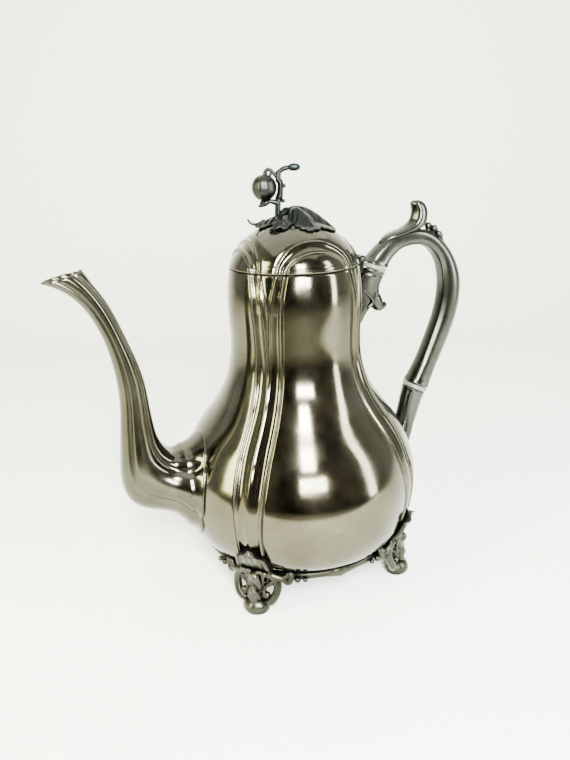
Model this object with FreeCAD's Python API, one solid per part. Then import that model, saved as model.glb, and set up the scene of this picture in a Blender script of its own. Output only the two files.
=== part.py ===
import FreeCAD, Part
import math
import os

Vector = FreeCAD.Vector

# A footed coffee pot in polished Britannia metal. Lengths are millimetres and +Z is up.
# The spout points to -X and the handle to +X. The pot is modelled about its body's axis,
# then every piece moves by axis_shift, which puts the origin on the floor, midway
# between the tip of the spout and the back of the handle.
axis_shift = 13.0

# Body: outer profile as (radius, height), from the soldered base up to the mouth.
# Between its lower and upper curves the belly is a short plain cylinder.
lower_profile = [(56, 22), (62, 24), (68.5, 27.8), (75, 34), (80, 45), (82.3, 57)]
upper_profile = [
    (82.3, 74), (81.2, 80), (78.2, 88), (70, 105), (55.4, 125), (46.2, 145), (43.3, 165), (43.9, 185),
    (43.6, 200), (41.9, 213),
]
wall = 1.2
strainer_hole_radius = 1.5
strainer_pitch = 5.0
strainer_height = 65.5

# Mouth and lid.
lid_profile = [
    (41.9, 213.3), (40.6, 218), (38.2, 223), (34.4, 228), (28.6, 233), (20, 238), (10, 241.1), (0, 242),
]
mouth_ring_radii = (39.2, 40.6)
mouth_ring_heights = (206.5, 212.9)
flange_radii = (37.2, 38.4)
flange_heights = (208.2, 214.9)
flange_rim_radius = 40.4
flange_rim_thickness = 1.0

# Hinge, with its pin along Y.
pin_x = 46.4
pin_z = 214.3
pin_radius = 1.1
pin_clearance = 0.05
pin_length = 14.4
knuckle_radius = 2.3
knuckle_half_gap = 2.6
lid_knuckle_half_width = 2.3

# Spout: each station is (lower x, lower z, upper x, upper z, half width across).
spout_stations = [
    (-66, 26, -62, 112, 33.0), (-76, 36, -74, 106, 29.5), (-85, 46, -83, 100.3, 25.0), (-95, 57.5, -89, 99, 20.5),
    (-109, 62, -94, 103, 18.0), (-119, 69, -97, 108.5, 16.8), (-123.8, 84, -99, 115, 15.2),
    (-123, 99, -100, 122, 13.2), (-121, 116, -101, 132, 11.2), (-119, 138, -102, 145, 9.6),
    (-120.5, 163, -105.5, 163, 8.6), (-124.5, 181, -111, 180, 8.0), (-130.5, 195, -117, 196.5, 7.7),
    (-138, 205.5, -123.5, 209, 7.4), (-147.5, 212.4, -131, 219, 7.2), (-158, 216.6, -141, 229, 7.0),
]
spout_wall = 1.4
spout_lip = (-154.0, 215.0)
spout_ridge_end = (-133.0, 219.5)

# Handle: each station is (outer x, outer z, inner x, inner z, half width across).
grip_stations = [
    (50.6, 211.6, 67.4, 205.9, 8.6), (57.5, 218.5, 70.5, 211, 7.8), (65.5, 224.8, 75.5, 215.8, 7.2),
    (76, 229, 81.5, 218.7, 6.8), (88.5, 231, 89, 219.6, 6.8), (101, 228.6, 96.5, 218.3, 6.9),
    (112, 221, 103.5, 213.6, 7.0), (121.5, 209, 109, 205, 7.1), (127.2, 195, 111.6, 193.5, 7.2),
    (128, 180, 111.4, 181.5, 7.2), (124.8, 163.5, 108.6, 167.5, 7.2), (118.7, 147.5, 103.4, 152.8, 7.3),
    (111.3, 130.5, 96.9, 137, 7.6), (104.6, 113.6, 88, 121, 8.6),
]
grip_wall = 2.0
vent_radius = 0.9

# Insulators: the middle of the disc and the direction of the handle's line there.
upper_joint = (57.9, 207.2)
upper_joint_direction = (0.333, 0.943)
lower_joint = (95.3, 115.3)
lower_joint_direction = (0.41, 0.912)
insulator_radii = (9.1, 9.2)
insulator_thickness = 3.0
spigot_radius = 4.2
spigot_length = 6.0
spigot_pin_radius = 0.9
spigot_pin_offset = 4.4

# Sockets that carry the handle: (outermost x, half width, height) for the upper one,
# and (upper x, upper z, lower x, lower z, half width) stations for the lower one.
upper_socket_levels = [
    (67.2, 8.6, 209.5), (66.2, 8.4, 204), (63.6, 7.4, 197), (63.4, 6.4, 190), (66, 5.2, 184.5), (67.8, 4.0, 180),
    (60.5, 3.4, 177), (52.5, 3.0, 173.5),
]
lower_socket_stations = [
    (86.6, 118.2, 103.6, 110.4, 8.6), (84.6, 110, 101, 102.5, 8.0), (82, 100, 97.4, 93.6, 7.8),
    (79.5, 89.5, 93.6, 82.5, 8.4), (74, 82, 91.5, 70, 9.5), (64, 76, 82, 61, 10.0),
]

# Finial, which is turned about the lid's axis so that its branch faces forward.
finial_turn = -20.8
finial_stud_radius = 2.0
finial_base_radius = 6.5
branch_radius = 1.9
fruit_centre = (-17.3, 0, 261.2)
fruit_radii = (7.5, 8.1)
bud_centre = (1.2, 0, 272.8)
bud_radii = (4.4, 2.2)
leaf_thickness = 1.1
washer_radius = 6.0
washer_thickness = 1.0
nut_across_flats = 7.0
nut_height = 2.4

# Feet, one beneath each ribbed corner of the body.
foot_radius = 74.0
foot_angles = {
    "foot_front_handle": -45, "foot_back_handle": 45, "foot_back_spout": 135, "foot_front_spout": -135,
}
toe_radii = (7.6, 6.0)
toe_height = 7.0
foot_arm_radius = 2.1

# Cast border soldered round the lower edge of the body: (radius, height) outline.
border_outline = [(64.5, 21.0), (68.6, 21.6), (72.2, 25.2), (75.4, 30.6), (73.0, 33.0)]


def polygon_wire(points):
    """A closed wire through points."""
    return Part.makePolygon(points + [points[0]])


def spline_edge(pairs):
    """A smooth edge through (x, z) pairs in the plane y = 0."""
    curve = Part.BSplineCurve()
    curve.interpolate([Vector(x, 0, z) for x, z in pairs])
    return curve.toShape()


def line_edge(start, end):
    """A straight edge between two (x, z) pairs in the plane y = 0."""
    return Part.makeLine(Vector(start[0], 0, start[1]), Vector(end[0], 0, end[1]))


def inset(profile, depth):
    """The profile moved inward by depth, square to its own direction."""
    moved = []
    last = len(profile) - 1
    for index, (radius, height) in enumerate(profile):
        before = profile[max(index - 1, 0)]
        after = profile[min(index + 1, last)]
        along_radius = after[0] - before[0]
        along_height = after[1] - before[1]
        length = math.hypot(along_radius, along_height)
        moved.append((radius - depth * along_height / length, height + depth * along_radius / length))
    return moved


def revolved(edges):
    """The solid that edges, closed in the plane y = 0, sweep about the body's axis."""
    face = Part.Face(Part.Wire(edges))
    return face.revolve(Vector(0, 0, 0), Vector(0, 0, 1), 360)


def ring(outline):
    """The solid of revolution of a closed outline of (radius, height) corners."""
    edges = [line_edge(start, end) for start, end in zip(outline, outline[1:] + outline[:1])]
    return revolved(edges)


def tube_ring(radii, heights):
    """A plain ring between two radii and two heights."""
    return ring([(radii[0], heights[0]), (radii[1], heights[0]), (radii[1], heights[1]), (radii[0], heights[1])])


def oval_points(start, end, half_width, squareness=2.0):
    """Points round an oval whose diameter runs from start to end, both (x, z), half_width wide in y."""
    centre = Vector((start[0] + end[0]) / 2, 0, (start[1] + end[1]) / 2)
    radius = Vector(end[0], 0, end[1]) - centre
    points = []
    count = 24
    for step in range(count):
        angle = 2 * math.pi * step / count
        across = math.copysign(abs(math.cos(angle)) ** (2 / squareness), math.cos(angle))
        side = math.copysign(abs(math.sin(angle)) ** (2 / squareness), math.sin(angle))
        points.append(centre + radius * across + Vector(0, half_width * side, 0))
    return points + points[:1]


def skinned(sections):
    """A solid with one smooth side through rings of points, and flat ends."""
    surface = Part.BSplineSurface()
    surface.interpolate(sections)
    side = surface.toShape()
    edges = side.Edges
    faces = [side]
    for section in (sections[0], sections[-1]):
        centre = sum(section[:-1], Vector()) / (len(section) - 1)
        closest = min(edges, key=lambda edge: (edge.CenterOfMass - centre).Length)
        faces.append(Part.Face(Part.Wire(closest)))
    shell = Part.makeShell(faces)
    shell.sewShape()
    solid = Part.makeSolid(shell)
    if solid.Volume < 0:
        solid.reverse()
    return solid


def overrun(stations, share):
    """The stations with one more beyond each end, carried on by a share of the last step."""
    first = tuple(near + (near - far) * share for near, far in zip(stations[0], stations[1]))
    last = tuple(near + (near - far) * share for near, far in zip(stations[-1], stations[-2]))
    return [first] + stations + [last]


def station_loft(stations, thinner=0.0):
    """A skinned solid through ovals, each made smaller by thinner all round."""
    sections = []
    for first_x, first_z, second_x, second_z, half_width in stations:
        length = math.hypot(second_x - first_x, second_z - first_z)
        step_x = thinner * (second_x - first_x) / length
        step_z = thinner * (second_z - first_z) / length
        start = (first_x + step_x, first_z + step_z)
        end = (second_x - step_x, second_z - step_z)
        sections.append(oval_points(start, end, half_width - thinner))
    return skinned(sections)


def grid_solid(upper, lower):
    """A closed solid of flat triangles between two grids of points of the same shape."""
    rows = len(upper)
    columns = len(upper[0])
    faces = []

    def add(a, b, c):
        if (b - a).cross(c - a).Length > 1e-6:
            faces.append(Part.Face(polygon_wire([a, b, c])))

    def add_quad(a, b, c, d):
        add(a, b, c)
        add(a, c, d)

    for row in range(rows - 1):
        for column in range(columns - 1):
            for grid in (upper, lower):
                add_quad(
                    grid[row][column], grid[row + 1][column], grid[row + 1][column + 1], grid[row][column + 1]
                )
    for row in range(rows - 1):
        for column in (0, columns - 1):
            add_quad(upper[row][column], upper[row + 1][column], lower[row + 1][column], lower[row][column])
    for column in range(columns - 1):
        for row in (0, rows - 1):
            add_quad(upper[row][column], upper[row][column + 1], lower[row][column + 1], lower[row][column])
    shell = Part.makeShell(faces)
    shell.sewShape()
    solid = Part.makeSolid(shell)
    if solid.Volume < 0:
        solid.reverse()
    return solid


def rod(points, radius):
    """A round rod with ball joints through a list of points."""
    pieces = [Part.makeSphere(radius, point) for point in points]
    for start, end in zip(points, points[1:]):
        pieces.append(Part.makeCylinder(radius, (end - start).Length, start, end - start))
    return pieces[0].multiFuse(pieces[1:])


def ellipsoid(centre, radius, half_height):
    """An upright ellipsoid about centre."""
    matrix = FreeCAD.Matrix()
    matrix.scale(1, 1, half_height / radius)
    shape = Part.makeSphere(radius).transformGeometry(matrix)
    shape.translate(Vector(*centre))
    return shape


def largest_solid(shape):
    """The largest solid of a shape, without offcuts."""
    return max(shape.Solids, key=lambda solid: solid.Volume)


def body_wall_edges(lower, upper):
    """The edges up one side of the body's wall."""
    return [spline_edge(lower), line_edge(lower[-1], upper[0]), spline_edge(upper)]


def body_solid():
    """The body as if it were full, used to trim what is soldered to it."""
    foot, mouth = lower_profile[0], upper_profile[-1]
    edges = body_wall_edges(lower_profile, upper_profile)
    edges.append(line_edge(mouth, (0, mouth[1])))
    edges.append(line_edge((0, mouth[1]), (0, foot[1])))
    edges.append(line_edge((0, foot[1]), foot))
    return revolved(edges)


def lid_outline():
    """The dome's outside, from the rim up to the hole for the finial's stud."""
    return lid_profile[:-1] + [(finial_stud_radius + 0.1, lid_profile[-1][1])]


def lid_solid():
    """The lid as if it were full, used to trim what sits on the dome."""
    outer = lid_outline()
    rim, top = outer[0], outer[-1]
    edges = [
        spline_edge(outer), line_edge(top, (0, top[1])), line_edge((0, top[1]), (0, rim[1])),
        line_edge((0, rim[1]), rim),
    ]
    return revolved(edges)


def body_radius(height):
    """The body's outer radius at a height."""
    if lower_profile[-1][1] <= height <= upper_profile[0][1]:
        return lower_profile[-1][0]
    profile = lower_profile if height < lower_profile[-1][1] else upper_profile
    curve = Part.BSplineCurve()
    curve.interpolate([Vector(radius, 0, z) for radius, z in profile])
    low, high = curve.FirstParameter, curve.LastParameter
    for _ in range(40):
        middle = (low + high) / 2
        if curve.value(middle).z < height:
            low = middle
        else:
            high = middle
    return curve.value(low).x


def strainer_holes():
    """Drills in three rows, which pass through the body's wall behind the spout."""
    drills = []
    for row in (-1, 0, 1):
        count = 5 - abs(row)
        for place in range(count):
            y = (place - (count - 1) / 2) * strainer_pitch
            z = strainer_height + row * strainer_pitch
            drills.append(Part.makeCylinder(strainer_hole_radius, 30, Vector(-92, y, z), Vector(1, 0, 0)))
    return drills


def make_body_shell():
    inner_lower = inset(lower_profile, wall)
    inner_upper = inset(upper_profile, wall)
    inner_lower[-1] = (lower_profile[-1][0] - wall, lower_profile[-1][1])
    inner_upper[0] = (upper_profile[0][0] - wall, upper_profile[0][1])
    inner_upper[-1] = (upper_profile[-1][0] - wall, upper_profile[-1][1])
    edges = body_wall_edges(lower_profile, upper_profile) + body_wall_edges(inner_lower, inner_upper)
    edges.append(line_edge(inner_lower[0], lower_profile[0]))
    edges.append(line_edge(upper_profile[-1], inner_upper[-1]))
    ordered = Part.sortEdges(edges)[0]
    return largest_solid(revolved(ordered).cut(strainer_holes()))


def make_base_plate():
    radius = lower_profile[0][0] - 0.5
    rise = 2.0
    low = lower_profile[0][1] + 0.1
    thickness = 0.9
    return ring([
        (0, low + rise), (radius * 0.8, low + rise), (radius * 0.86, low), (radius, low), (radius, low + thickness),
        (radius * 0.88, low + thickness), (radius * 0.82, low + rise + thickness), (0, low + rise + thickness),
    ])


def make_mouth_ring():
    return tube_ring(mouth_ring_radii, mouth_ring_heights)


def make_lid_shell():
    outer = lid_outline()
    inner = inset(outer, wall)
    inner[0] = (outer[0][0] - wall, outer[0][1])
    inner[-1] = (outer[-1][0], outer[-1][1] - wall)
    edges = [
        spline_edge(outer), line_edge(outer[-1], inner[-1]), spline_edge(inner), line_edge(inner[0], outer[0]),
    ]
    return revolved(edges)


def make_lid_flange():
    low, high = flange_heights
    return ring([
        (flange_radii[0], low), (flange_radii[1], low), (flange_radii[1], high - flange_rim_thickness),
        (flange_rim_radius, high - flange_rim_thickness), (flange_rim_radius - 0.3, high), (flange_radii[0], high),
    ])


def along_pin(radius, start, end):
    """A cylinder about the hinge's line between two places along Y."""
    return Part.makeCylinder(radius, end - start, Vector(pin_x, start, pin_z), Vector(0, 1, 0))


def make_hinge_pin():
    return along_pin(pin_radius, -pin_length / 2, pin_length / 2)


def make_hinge_body_knuckles():
    half_width = pin_length / 2 - 0.4
    plate_top = pin_z - knuckle_radius - 0.5
    plate = Part.makeBox(8, 2 * half_width, 6.5, Vector(pin_x - 7.2, -half_width, plate_top - 6.5))
    pieces = [plate]
    for side in (-1, 1):
        start, end = sorted((side * knuckle_half_gap, side * half_width))
        pieces.append(along_pin(knuckle_radius, start, end))
        web = Part.makeBox(2.6, end - start, pin_z - plate_top + 0.4, Vector(pin_x - 1.5, start, plate_top - 0.2))
        pieces.append(web)
    shape = pieces[0].multiFuse(pieces[1:])
    shape = shape.cut(body_solid()).cut(along_pin(pin_radius + pin_clearance, -20, 20))
    return largest_solid(shape)


def make_hinge_lid_knuckle():
    barrel = along_pin(knuckle_radius, -lid_knuckle_half_width, lid_knuckle_half_width)
    tab_low = lid_profile[0][1] + 0.5
    tab = Part.makeBox(
        pin_x - 39, 2 * lid_knuckle_half_width, pin_z + knuckle_radius - tab_low,
        Vector(39, -lid_knuckle_half_width, tab_low),
    )
    shape = barrel.fuse(tab).cut(lid_solid()).cut(along_pin(pin_radius + pin_clearance, -20, 20))
    return largest_solid(shape)


def make_spout():
    outer = station_loft(spout_stations)
    inner = station_loft(overrun(spout_stations, 0.3), spout_wall)
    shell = outer.cut(inner)
    lip = Vector(spout_lip[0], 0, spout_lip[1])
    ridge_end = Vector(spout_ridge_end[0], 0, spout_ridge_end[1])
    along = ridge_end - lip
    corners = [lip - along * 2, ridge_end + along * 2]
    corners.append(corners[1] + Vector(0, 0, 60))
    corners.append(corners[0] + Vector(0, 0, 60))
    trimming = Part.Face(polygon_wire([corner - Vector(0, 40, 0) for corner in corners]))
    shape = shell.cut(trimming.extrude(Vector(0, 80, 0))).cut(body_solid())
    return max(shape.Solids, key=lambda solid: -solid.CenterOfMass.x)


def joint_frame(place, direction):
    """The middle of a handle joint and its unit direction, as vectors."""
    unit = Vector(direction[0], 0, direction[1])
    unit.normalize()
    return Vector(place[0], 0, place[1]), unit


def make_insulator(place, direction, radius):
    """A disc with a spigot on each side, cross-drilled for its two pins."""
    centre, unit = joint_frame(place, direction)
    disc = Part.makeCylinder(radius, insulator_thickness, centre - unit * (insulator_thickness / 2), unit)
    length = insulator_thickness + 2 * spigot_length
    spigots = Part.makeCylinder(spigot_radius, length, centre - unit * (length / 2), unit)
    return largest_solid(disc.fuse(spigots).cut(cross_pins(place, direction, 30)))


def cross_pins(place, direction, length, offcut=0.0):
    """Two short pins across a joint, one in the socket and one in the grip."""
    centre, unit = joint_frame(place, direction)
    pins = []
    for side in (-1, 1):
        middle = centre + unit * (side * spigot_pin_offset)
        pins.append(Part.makeCylinder(
            spigot_pin_radius - offcut, length, middle - Vector(0, length / 2, 0), Vector(0, 1, 0)
        ))
    return Part.makeCompound(pins)


def joint_pocket(place, direction):
    """The space that an insulator fills in the pieces on both sides of it."""
    centre, unit = joint_frame(place, direction)
    disc_thickness = insulator_thickness + 0.02
    disc = Part.makeCylinder(20, disc_thickness, centre - unit * (disc_thickness / 2), unit)
    length = insulator_thickness + 2 * spigot_length + 1.0
    pocket = Part.makeCylinder(spigot_radius + 0.05, length, centre - unit * (length / 2), unit)
    return disc.fuse(pocket)


def grip_outside():
    """The grip's outer form before it is trimmed at the insulators."""
    return station_loft(grip_stations)


def make_handle_grip():
    outer = grip_outside()
    hollow = station_loft(grip_stations[2:-2], grip_wall)
    vent = Part.makeCylinder(vent_radius, 12, Vector(69.5, 0, 229), Vector(0.55, 0, -0.83))
    shape = outer.cut(hollow).cut(vent)
    for place, direction in ((upper_joint, upper_joint_direction), (lower_joint, lower_joint_direction)):
        shape = shape.cut(joint_pocket(place, direction)).cut(cross_pins(place, direction, 30))
    return largest_solid(shape)


def make_upper_socket():
    sections = []
    inside_x = 36
    for outer_x, half_width, height in reversed(upper_socket_levels):
        sections.append(oval_points((inside_x, height), (outer_x, height), half_width, 2.6))
    shape = skinned(sections).cut(body_solid())
    centre, unit = joint_frame(upper_joint, upper_joint_direction)
    above = Part.makeCylinder(60, 40, centre - unit * (insulator_thickness / 2 + 0.01), unit)
    shape = shape.cut(above).cut(joint_pocket(upper_joint, upper_joint_direction))
    shape = shape.cut(cross_pins(upper_joint, upper_joint_direction, 30))
    hinge_room = Part.makeBox(9.2, 17, 20, Vector(39, -8.5, pin_z - 10.5))
    return largest_solid(shape.cut(hinge_room))


def make_socket_leaf():
    rows = 7
    columns = 7
    top, bottom = 176.0, 163.5
    upper, lower = [], []
    for row in range(rows):
        along = row / (rows - 1)
        height = top + (bottom - top) * along
        half_angle = math.radians(1.0 + 7.0 * math.sin(math.pi * (0.25 + 0.72 * along)))
        base = body_radius(height) + 0.05
        upper_row, lower_row = [], []
        for column in range(columns):
            across = 2 * column / (columns - 1) - 1
            angle = half_angle * across
            proud = 2.2 + 2.6 * (1 - along) - 1.2 * across * across
            upper_row.append(Vector((base + proud) * math.cos(angle), (base + proud) * math.sin(angle), height))
            lower_row.append(Vector(base * math.cos(angle), base * math.sin(angle), height))
        upper.append(upper_row)
        lower.append(lower_row)
    leaf = grid_solid(upper, lower)
    drop = Part.makeSphere(1.9, Vector(body_radius(161.5) + 1.1, 0, 161.7))
    return largest_solid(leaf.fuse(drop).cut(body_solid()).cut(make_upper_socket()))


def make_lower_socket():
    shape = station_loft(lower_socket_stations).cut(body_solid())
    centre, unit = joint_frame(lower_joint, lower_joint_direction)
    above = Part.makeCylinder(40, 30, centre - unit * (insulator_thickness / 2 + 0.01), unit)
    shape = shape.cut(above).cut(joint_pocket(lower_joint, lower_joint_direction))
    return largest_solid(shape.cut(cross_pins(lower_joint, lower_joint_direction, 30)))


def make_pins(place, direction):
    """The two cross pins of one joint, cut flush a little proud of the handle."""
    return cross_pins(place, direction, 2 * (grip_stations[0][4] - 1.1), 0.02)


def make_thumb_leaf():
    top = [(66, 226.2), (75, 230.6), (83, 233), (86, 237.4), (86, 243.6), (88, 247.4), (92, 248.2), (96.5, 246)]
    under = [(98, 242), (95.5, 240), (95.2, 236.5), (98.5, 232.6), (103, 229.8)]
    edges = [
        spline_edge(top), spline_edge([top[-1]] + under), line_edge(under[-1], (101, 226)),
        line_edge((101, 226), (70, 222)), line_edge((70, 222), top[0]),
    ]
    half_width = 5.4
    face = Part.Face(Part.Wire(edges))
    face.translate(Vector(0, -half_width, 0))
    return largest_solid(face.extrude(Vector(0, 2 * half_width, 0)).cut(grip_outside()))


def make_thumb_berries(leaf):
    places = [
        (101.6, 0.0, 231.6), (104.4, -2.6, 229.6), (104.6, 2.4, 229.6), (107.2, 0.0, 227.4), (108.4, -3.0, 225.2),
        (108.8, 2.8, 225.0), (111.6, 0.0, 222.6),
    ]
    balls = [Part.makeSphere(2.2, Vector(*place)) for place in places]
    backing = rod([Vector(101, 0, 229.6), Vector(106.5, 0, 226.2), Vector(112, 0, 221.4)], 1.9)
    return largest_solid(backing.multiFuse(balls).cut(grip_outside()).cut(leaf))


def lid_height(radius):
    """The lid's outer height at a radius."""
    points = sorted(lid_profile)
    for (near, near_z), (far, far_z) in zip(points, points[1:]):
        if near <= radius <= far:
            return near_z + (far_z - near_z) * (radius - near) / (far - near)
    return points[-1][1]


def make_finial_branch():
    stud = Part.makeCylinder(finial_stud_radius, 12, Vector(0, 0, 235.4))
    base = Part.makeCylinder(finial_base_radius, 5, Vector(0, 0, 239.6))
    stem_points = [
        Vector(-1, 0, 243.6), Vector(-8.4, 0, 246), Vector(-8.6, 0, 254), Vector(-7.6, 0, 262), Vector(-8.2, 0, 269.5),
    ]
    stem = rod(stem_points, branch_radius + 0.3)
    top = rod([stem_points[-1], Vector(-4.5, 0, 271.8), Vector(-1.6, 0, 272.6)], branch_radius - 0.3)
    loop = rod(
        [stem_points[-1], Vector(-12, 0, 271.6), Vector(-15.4, 0, 270.4), Vector(-16.4, 0, 268.6)],
        branch_radius - 0.6,
    )
    twig = rod([Vector(-8.6, 0, 252), Vector(-13.6, 0, 252.6), Vector(-17.6, 0, 251.6)], branch_radius - 0.5)
    above_lid = base.multiFuse([stem, top, loop, twig]).cut(lid_solid())
    return largest_solid(above_lid.fuse(stud))


def make_finial_fruit(branch):
    return largest_solid(ellipsoid(fruit_centre, fruit_radii[0], fruit_radii[1]).cut(branch))


def make_finial_bud(branch):
    return largest_solid(ellipsoid(bud_centre, bud_radii[0], bud_radii[1]).cut(branch))


def leaf_grid(middle, middle_z, start, end, radii, lift):
    """Upper and lower grids of a leaf that falls from middle to an edge above the lid."""
    rows, columns = 7, 13
    upper, lower = [], []
    for row in range(rows):
        out = 0.12 + 0.88 * row / (rows - 1)
        upper_row, lower_row = [], []
        for column in range(columns):
            share = column / (columns - 1)
            angle = math.radians(start + (end - start) * share)
            reach = radii[0] + (radii[1] - radii[0]) * share
            x = middle[0] + reach * out * math.cos(angle)
            y = middle[1] + reach * out * math.sin(angle)
            edge_x = middle[0] + reach * math.cos(angle)
            edge_y = middle[1] + reach * math.sin(angle)
            edge_z = lid_height(math.hypot(edge_x, edge_y)) + lift
            floor_z = lid_height(math.hypot(x, y)) + 0.7
            height = max(middle_z + (edge_z - middle_z) * out ** 1.15, floor_z + leaf_thickness)
            upper_row.append(Vector(x, y, height))
            lower_row.append(Vector(x, y, height - leaf_thickness))
        upper.append(upper_row)
        lower.append(lower_row)
    return upper, lower


def make_finial_leaf_large(branch):
    leaf = grid_solid(*leaf_grid((0.5, 0), 253.5, -125, 15, (29, 27), 2.6))
    return largest_solid(leaf.cut(branch).cut(lid_solid()))


def make_finial_leaf_small(branch, large_leaf):
    leaf = grid_solid(*leaf_grid((-5, 0), 245.4, 120, 236, (21, 22), 2.4))
    return largest_solid(leaf.cut(branch).cut(lid_solid()).cut(large_leaf))


def make_finial_washer():
    top = lid_profile[-1][1] - wall - 0.5
    return tube_ring((finial_stud_radius + 0.1, washer_radius), (top - washer_thickness, top))


def make_finial_nut():
    top = lid_profile[-1][1] - wall - 0.55 - washer_thickness
    corner = nut_across_flats / math.sqrt(3)
    corners = [
        Vector(corner * math.cos(math.radians(60 * side)), corner * math.sin(math.radians(60 * side)), top)
        for side in range(6)
    ]
    block = Part.Face(polygon_wire(corners)).extrude(Vector(0, 0, -nut_height))
    return block.cut(Part.makeCylinder(finial_stud_radius + 0.02, 10, Vector(0, 0, top - 6)))


def foot_point(radius, across, height):
    """A point of a foot that is built facing +X: radius from the axis, across it, and height."""
    return Vector(radius, across, height)


def make_foot(angle, body):
    toe = Part.makeCone(toe_radii[0], toe_radii[1], toe_height, Vector(foot_radius, 0, 0))
    crown = ellipsoid((foot_radius, 0, toe_height), toe_radii[1], 3.0)
    pieces = [toe, crown]
    stem = [foot_point(foot_radius - 1, 0, 7), foot_point(71, 0, 16), foot_point(71.5, 0, 26)]
    pieces.append(rod(stem, 3.4))
    for side in (-1, 1):
        arm = [
            foot_point(foot_radius - 2, 4 * side, 6), foot_point(71, 10.5 * side, 12),
            foot_point(69.5, 13.5 * side, 20), foot_point(69.5, 10.5 * side, 27), foot_point(72.5, 3 * side, 30),
        ]
        pieces.append(rod(arm, foot_arm_radius))
        wing = [foot_point(69.5, 12.5 * side, 23), foot_point(67.0, 19 * side, 25), foot_point(65.6, 24 * side, 25.4)]
        pieces.append(rod(wing, foot_arm_radius - 0.3))
    upper, lower = [], []
    rows, columns = 7, 7
    for row in range(rows):
        along = row / (rows - 1)
        height = 24.5 + 24.5 * along
        half = math.radians(8.6 * (1 - 0.72 * along ** 2.2))
        base = body_radius(height)
        upper_row, lower_row = [], []
        for column in range(columns):
            across = 2 * column / (columns - 1) - 1
            proud = 3.4 - 1.6 * along - 0.8 * across * across
            turn = half * across
            upper_row.append(Vector((base + proud) * math.cos(turn), (base + proud) * math.sin(turn), height))
            lower_row.append(Vector((base - 0.8) * math.cos(turn), (base - 0.8) * math.sin(turn), height))
        upper.append(upper_row)
        lower.append(lower_row)
    pieces.append(grid_solid(upper, lower))
    shape = pieces[0].multiFuse(pieces[1:]).cut(body)
    floor = Part.makeBox(200, 200, 20, Vector(-20, -100, -20))
    shape = largest_solid(shape.cut(floor))
    shape.rotate(Vector(0, 0, 0), Vector(0, 0, 1), angle)
    return shape


def make_base_border(body, feet):
    border = ring(border_outline).cut(body)
    for foot in feet:
        border = border.cut(foot)
    solids = [solid for solid in border.Solids if solid.Volume > 20]
    return Part.makeCompound(solids)


def finial_pieces():
    """Every piece of the finial, turned to its place on the lid."""
    branch = make_finial_branch()
    large_leaf = make_finial_leaf_large(branch)
    shapes = {
        "finial_branch": branch,
        "finial_fruit": make_finial_fruit(branch),
        "finial_bud": make_finial_bud(branch),
        "finial_leaf_large": large_leaf,
        "finial_leaf_small": make_finial_leaf_small(branch, large_leaf),
        "finial_washer": make_finial_washer(),
        "finial_nut": make_finial_nut(),
    }
    for shape in shapes.values():
        shape.rotate(Vector(0, 0, 0), Vector(0, 0, 1), finial_turn)
    return shapes


def make_pieces():
    """Every piece of the pot by name, about the body's axis."""
    body = body_solid()
    feet = {name: make_foot(angle, body) for name, angle in foot_angles.items()}
    thumb_leaf = make_thumb_leaf()
    pieces = {
        "body_shell": make_body_shell(),
        "base_plate": make_base_plate(),
        "base_border": make_base_border(body, feet.values()),
        "mouth_ring": make_mouth_ring(),
        "spout": make_spout(),
        "upper_socket": make_upper_socket(),
        "socket_leaf": make_socket_leaf(),
        "lower_socket": make_lower_socket(),
        "upper_insulator": make_insulator(upper_joint, upper_joint_direction, insulator_radii[0]),
        "lower_insulator": make_insulator(lower_joint, lower_joint_direction, insulator_radii[1]),
        "upper_pins": make_pins(upper_joint, upper_joint_direction),
        "lower_pins": make_pins(lower_joint, lower_joint_direction),
        "handle_grip": make_handle_grip(),
        "thumb_leaf": thumb_leaf,
        "thumb_berries": make_thumb_berries(thumb_leaf),
        "hinge_body_knuckles": make_hinge_body_knuckles(),
        "hinge_pin": make_hinge_pin(),
        "hinge_lid_knuckle": make_hinge_lid_knuckle(),
        "lid_shell": make_lid_shell(),
        "lid_flange": make_lid_flange(),
    }
    pieces.update(feet)
    pieces.update(finial_pieces())
    return pieces


def main():
    os.makedirs("parts", exist_ok=True)
    for name, shape in make_pieces().items():
        shape.translate(Vector(axis_shift, 0, 0))
        box = shape.BoundBox
        print(
            f"{name:22s} solids {len(shape.Solids)} valid {shape.isValid()} volume {shape.Volume:10.1f}"
            f"  x {box.XMin:7.1f} {box.XMax:7.1f}  y {box.YMin:6.1f} {box.YMax:6.1f}  z {box.ZMin:6.1f} {box.ZMax:6.1f}"
        )
        shape.exportStep(f"parts/{name}.step")


main()
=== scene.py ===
import math

import bmesh
import bpy
import numpy as np
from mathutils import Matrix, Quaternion, Vector


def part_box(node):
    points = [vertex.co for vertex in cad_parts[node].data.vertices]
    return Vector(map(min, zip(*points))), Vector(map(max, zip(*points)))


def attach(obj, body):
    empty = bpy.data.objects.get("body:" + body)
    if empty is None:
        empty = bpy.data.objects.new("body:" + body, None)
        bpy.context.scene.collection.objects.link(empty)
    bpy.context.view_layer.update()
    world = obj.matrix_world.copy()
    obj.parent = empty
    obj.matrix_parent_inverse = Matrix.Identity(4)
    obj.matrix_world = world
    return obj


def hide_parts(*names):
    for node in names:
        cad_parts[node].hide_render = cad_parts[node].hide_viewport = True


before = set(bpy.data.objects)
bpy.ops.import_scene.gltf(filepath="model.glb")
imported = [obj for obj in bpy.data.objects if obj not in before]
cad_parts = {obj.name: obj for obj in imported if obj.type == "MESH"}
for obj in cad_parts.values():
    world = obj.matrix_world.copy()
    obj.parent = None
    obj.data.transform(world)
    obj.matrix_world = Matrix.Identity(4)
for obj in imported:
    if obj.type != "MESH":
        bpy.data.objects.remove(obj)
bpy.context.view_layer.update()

# The pot is drawn in millimetres about the body's own axis, with its spout towards -X,
# and is put in the frame by metres(). The body's axis is read from the frame.
body_low, body_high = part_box("body_shell")
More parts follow.
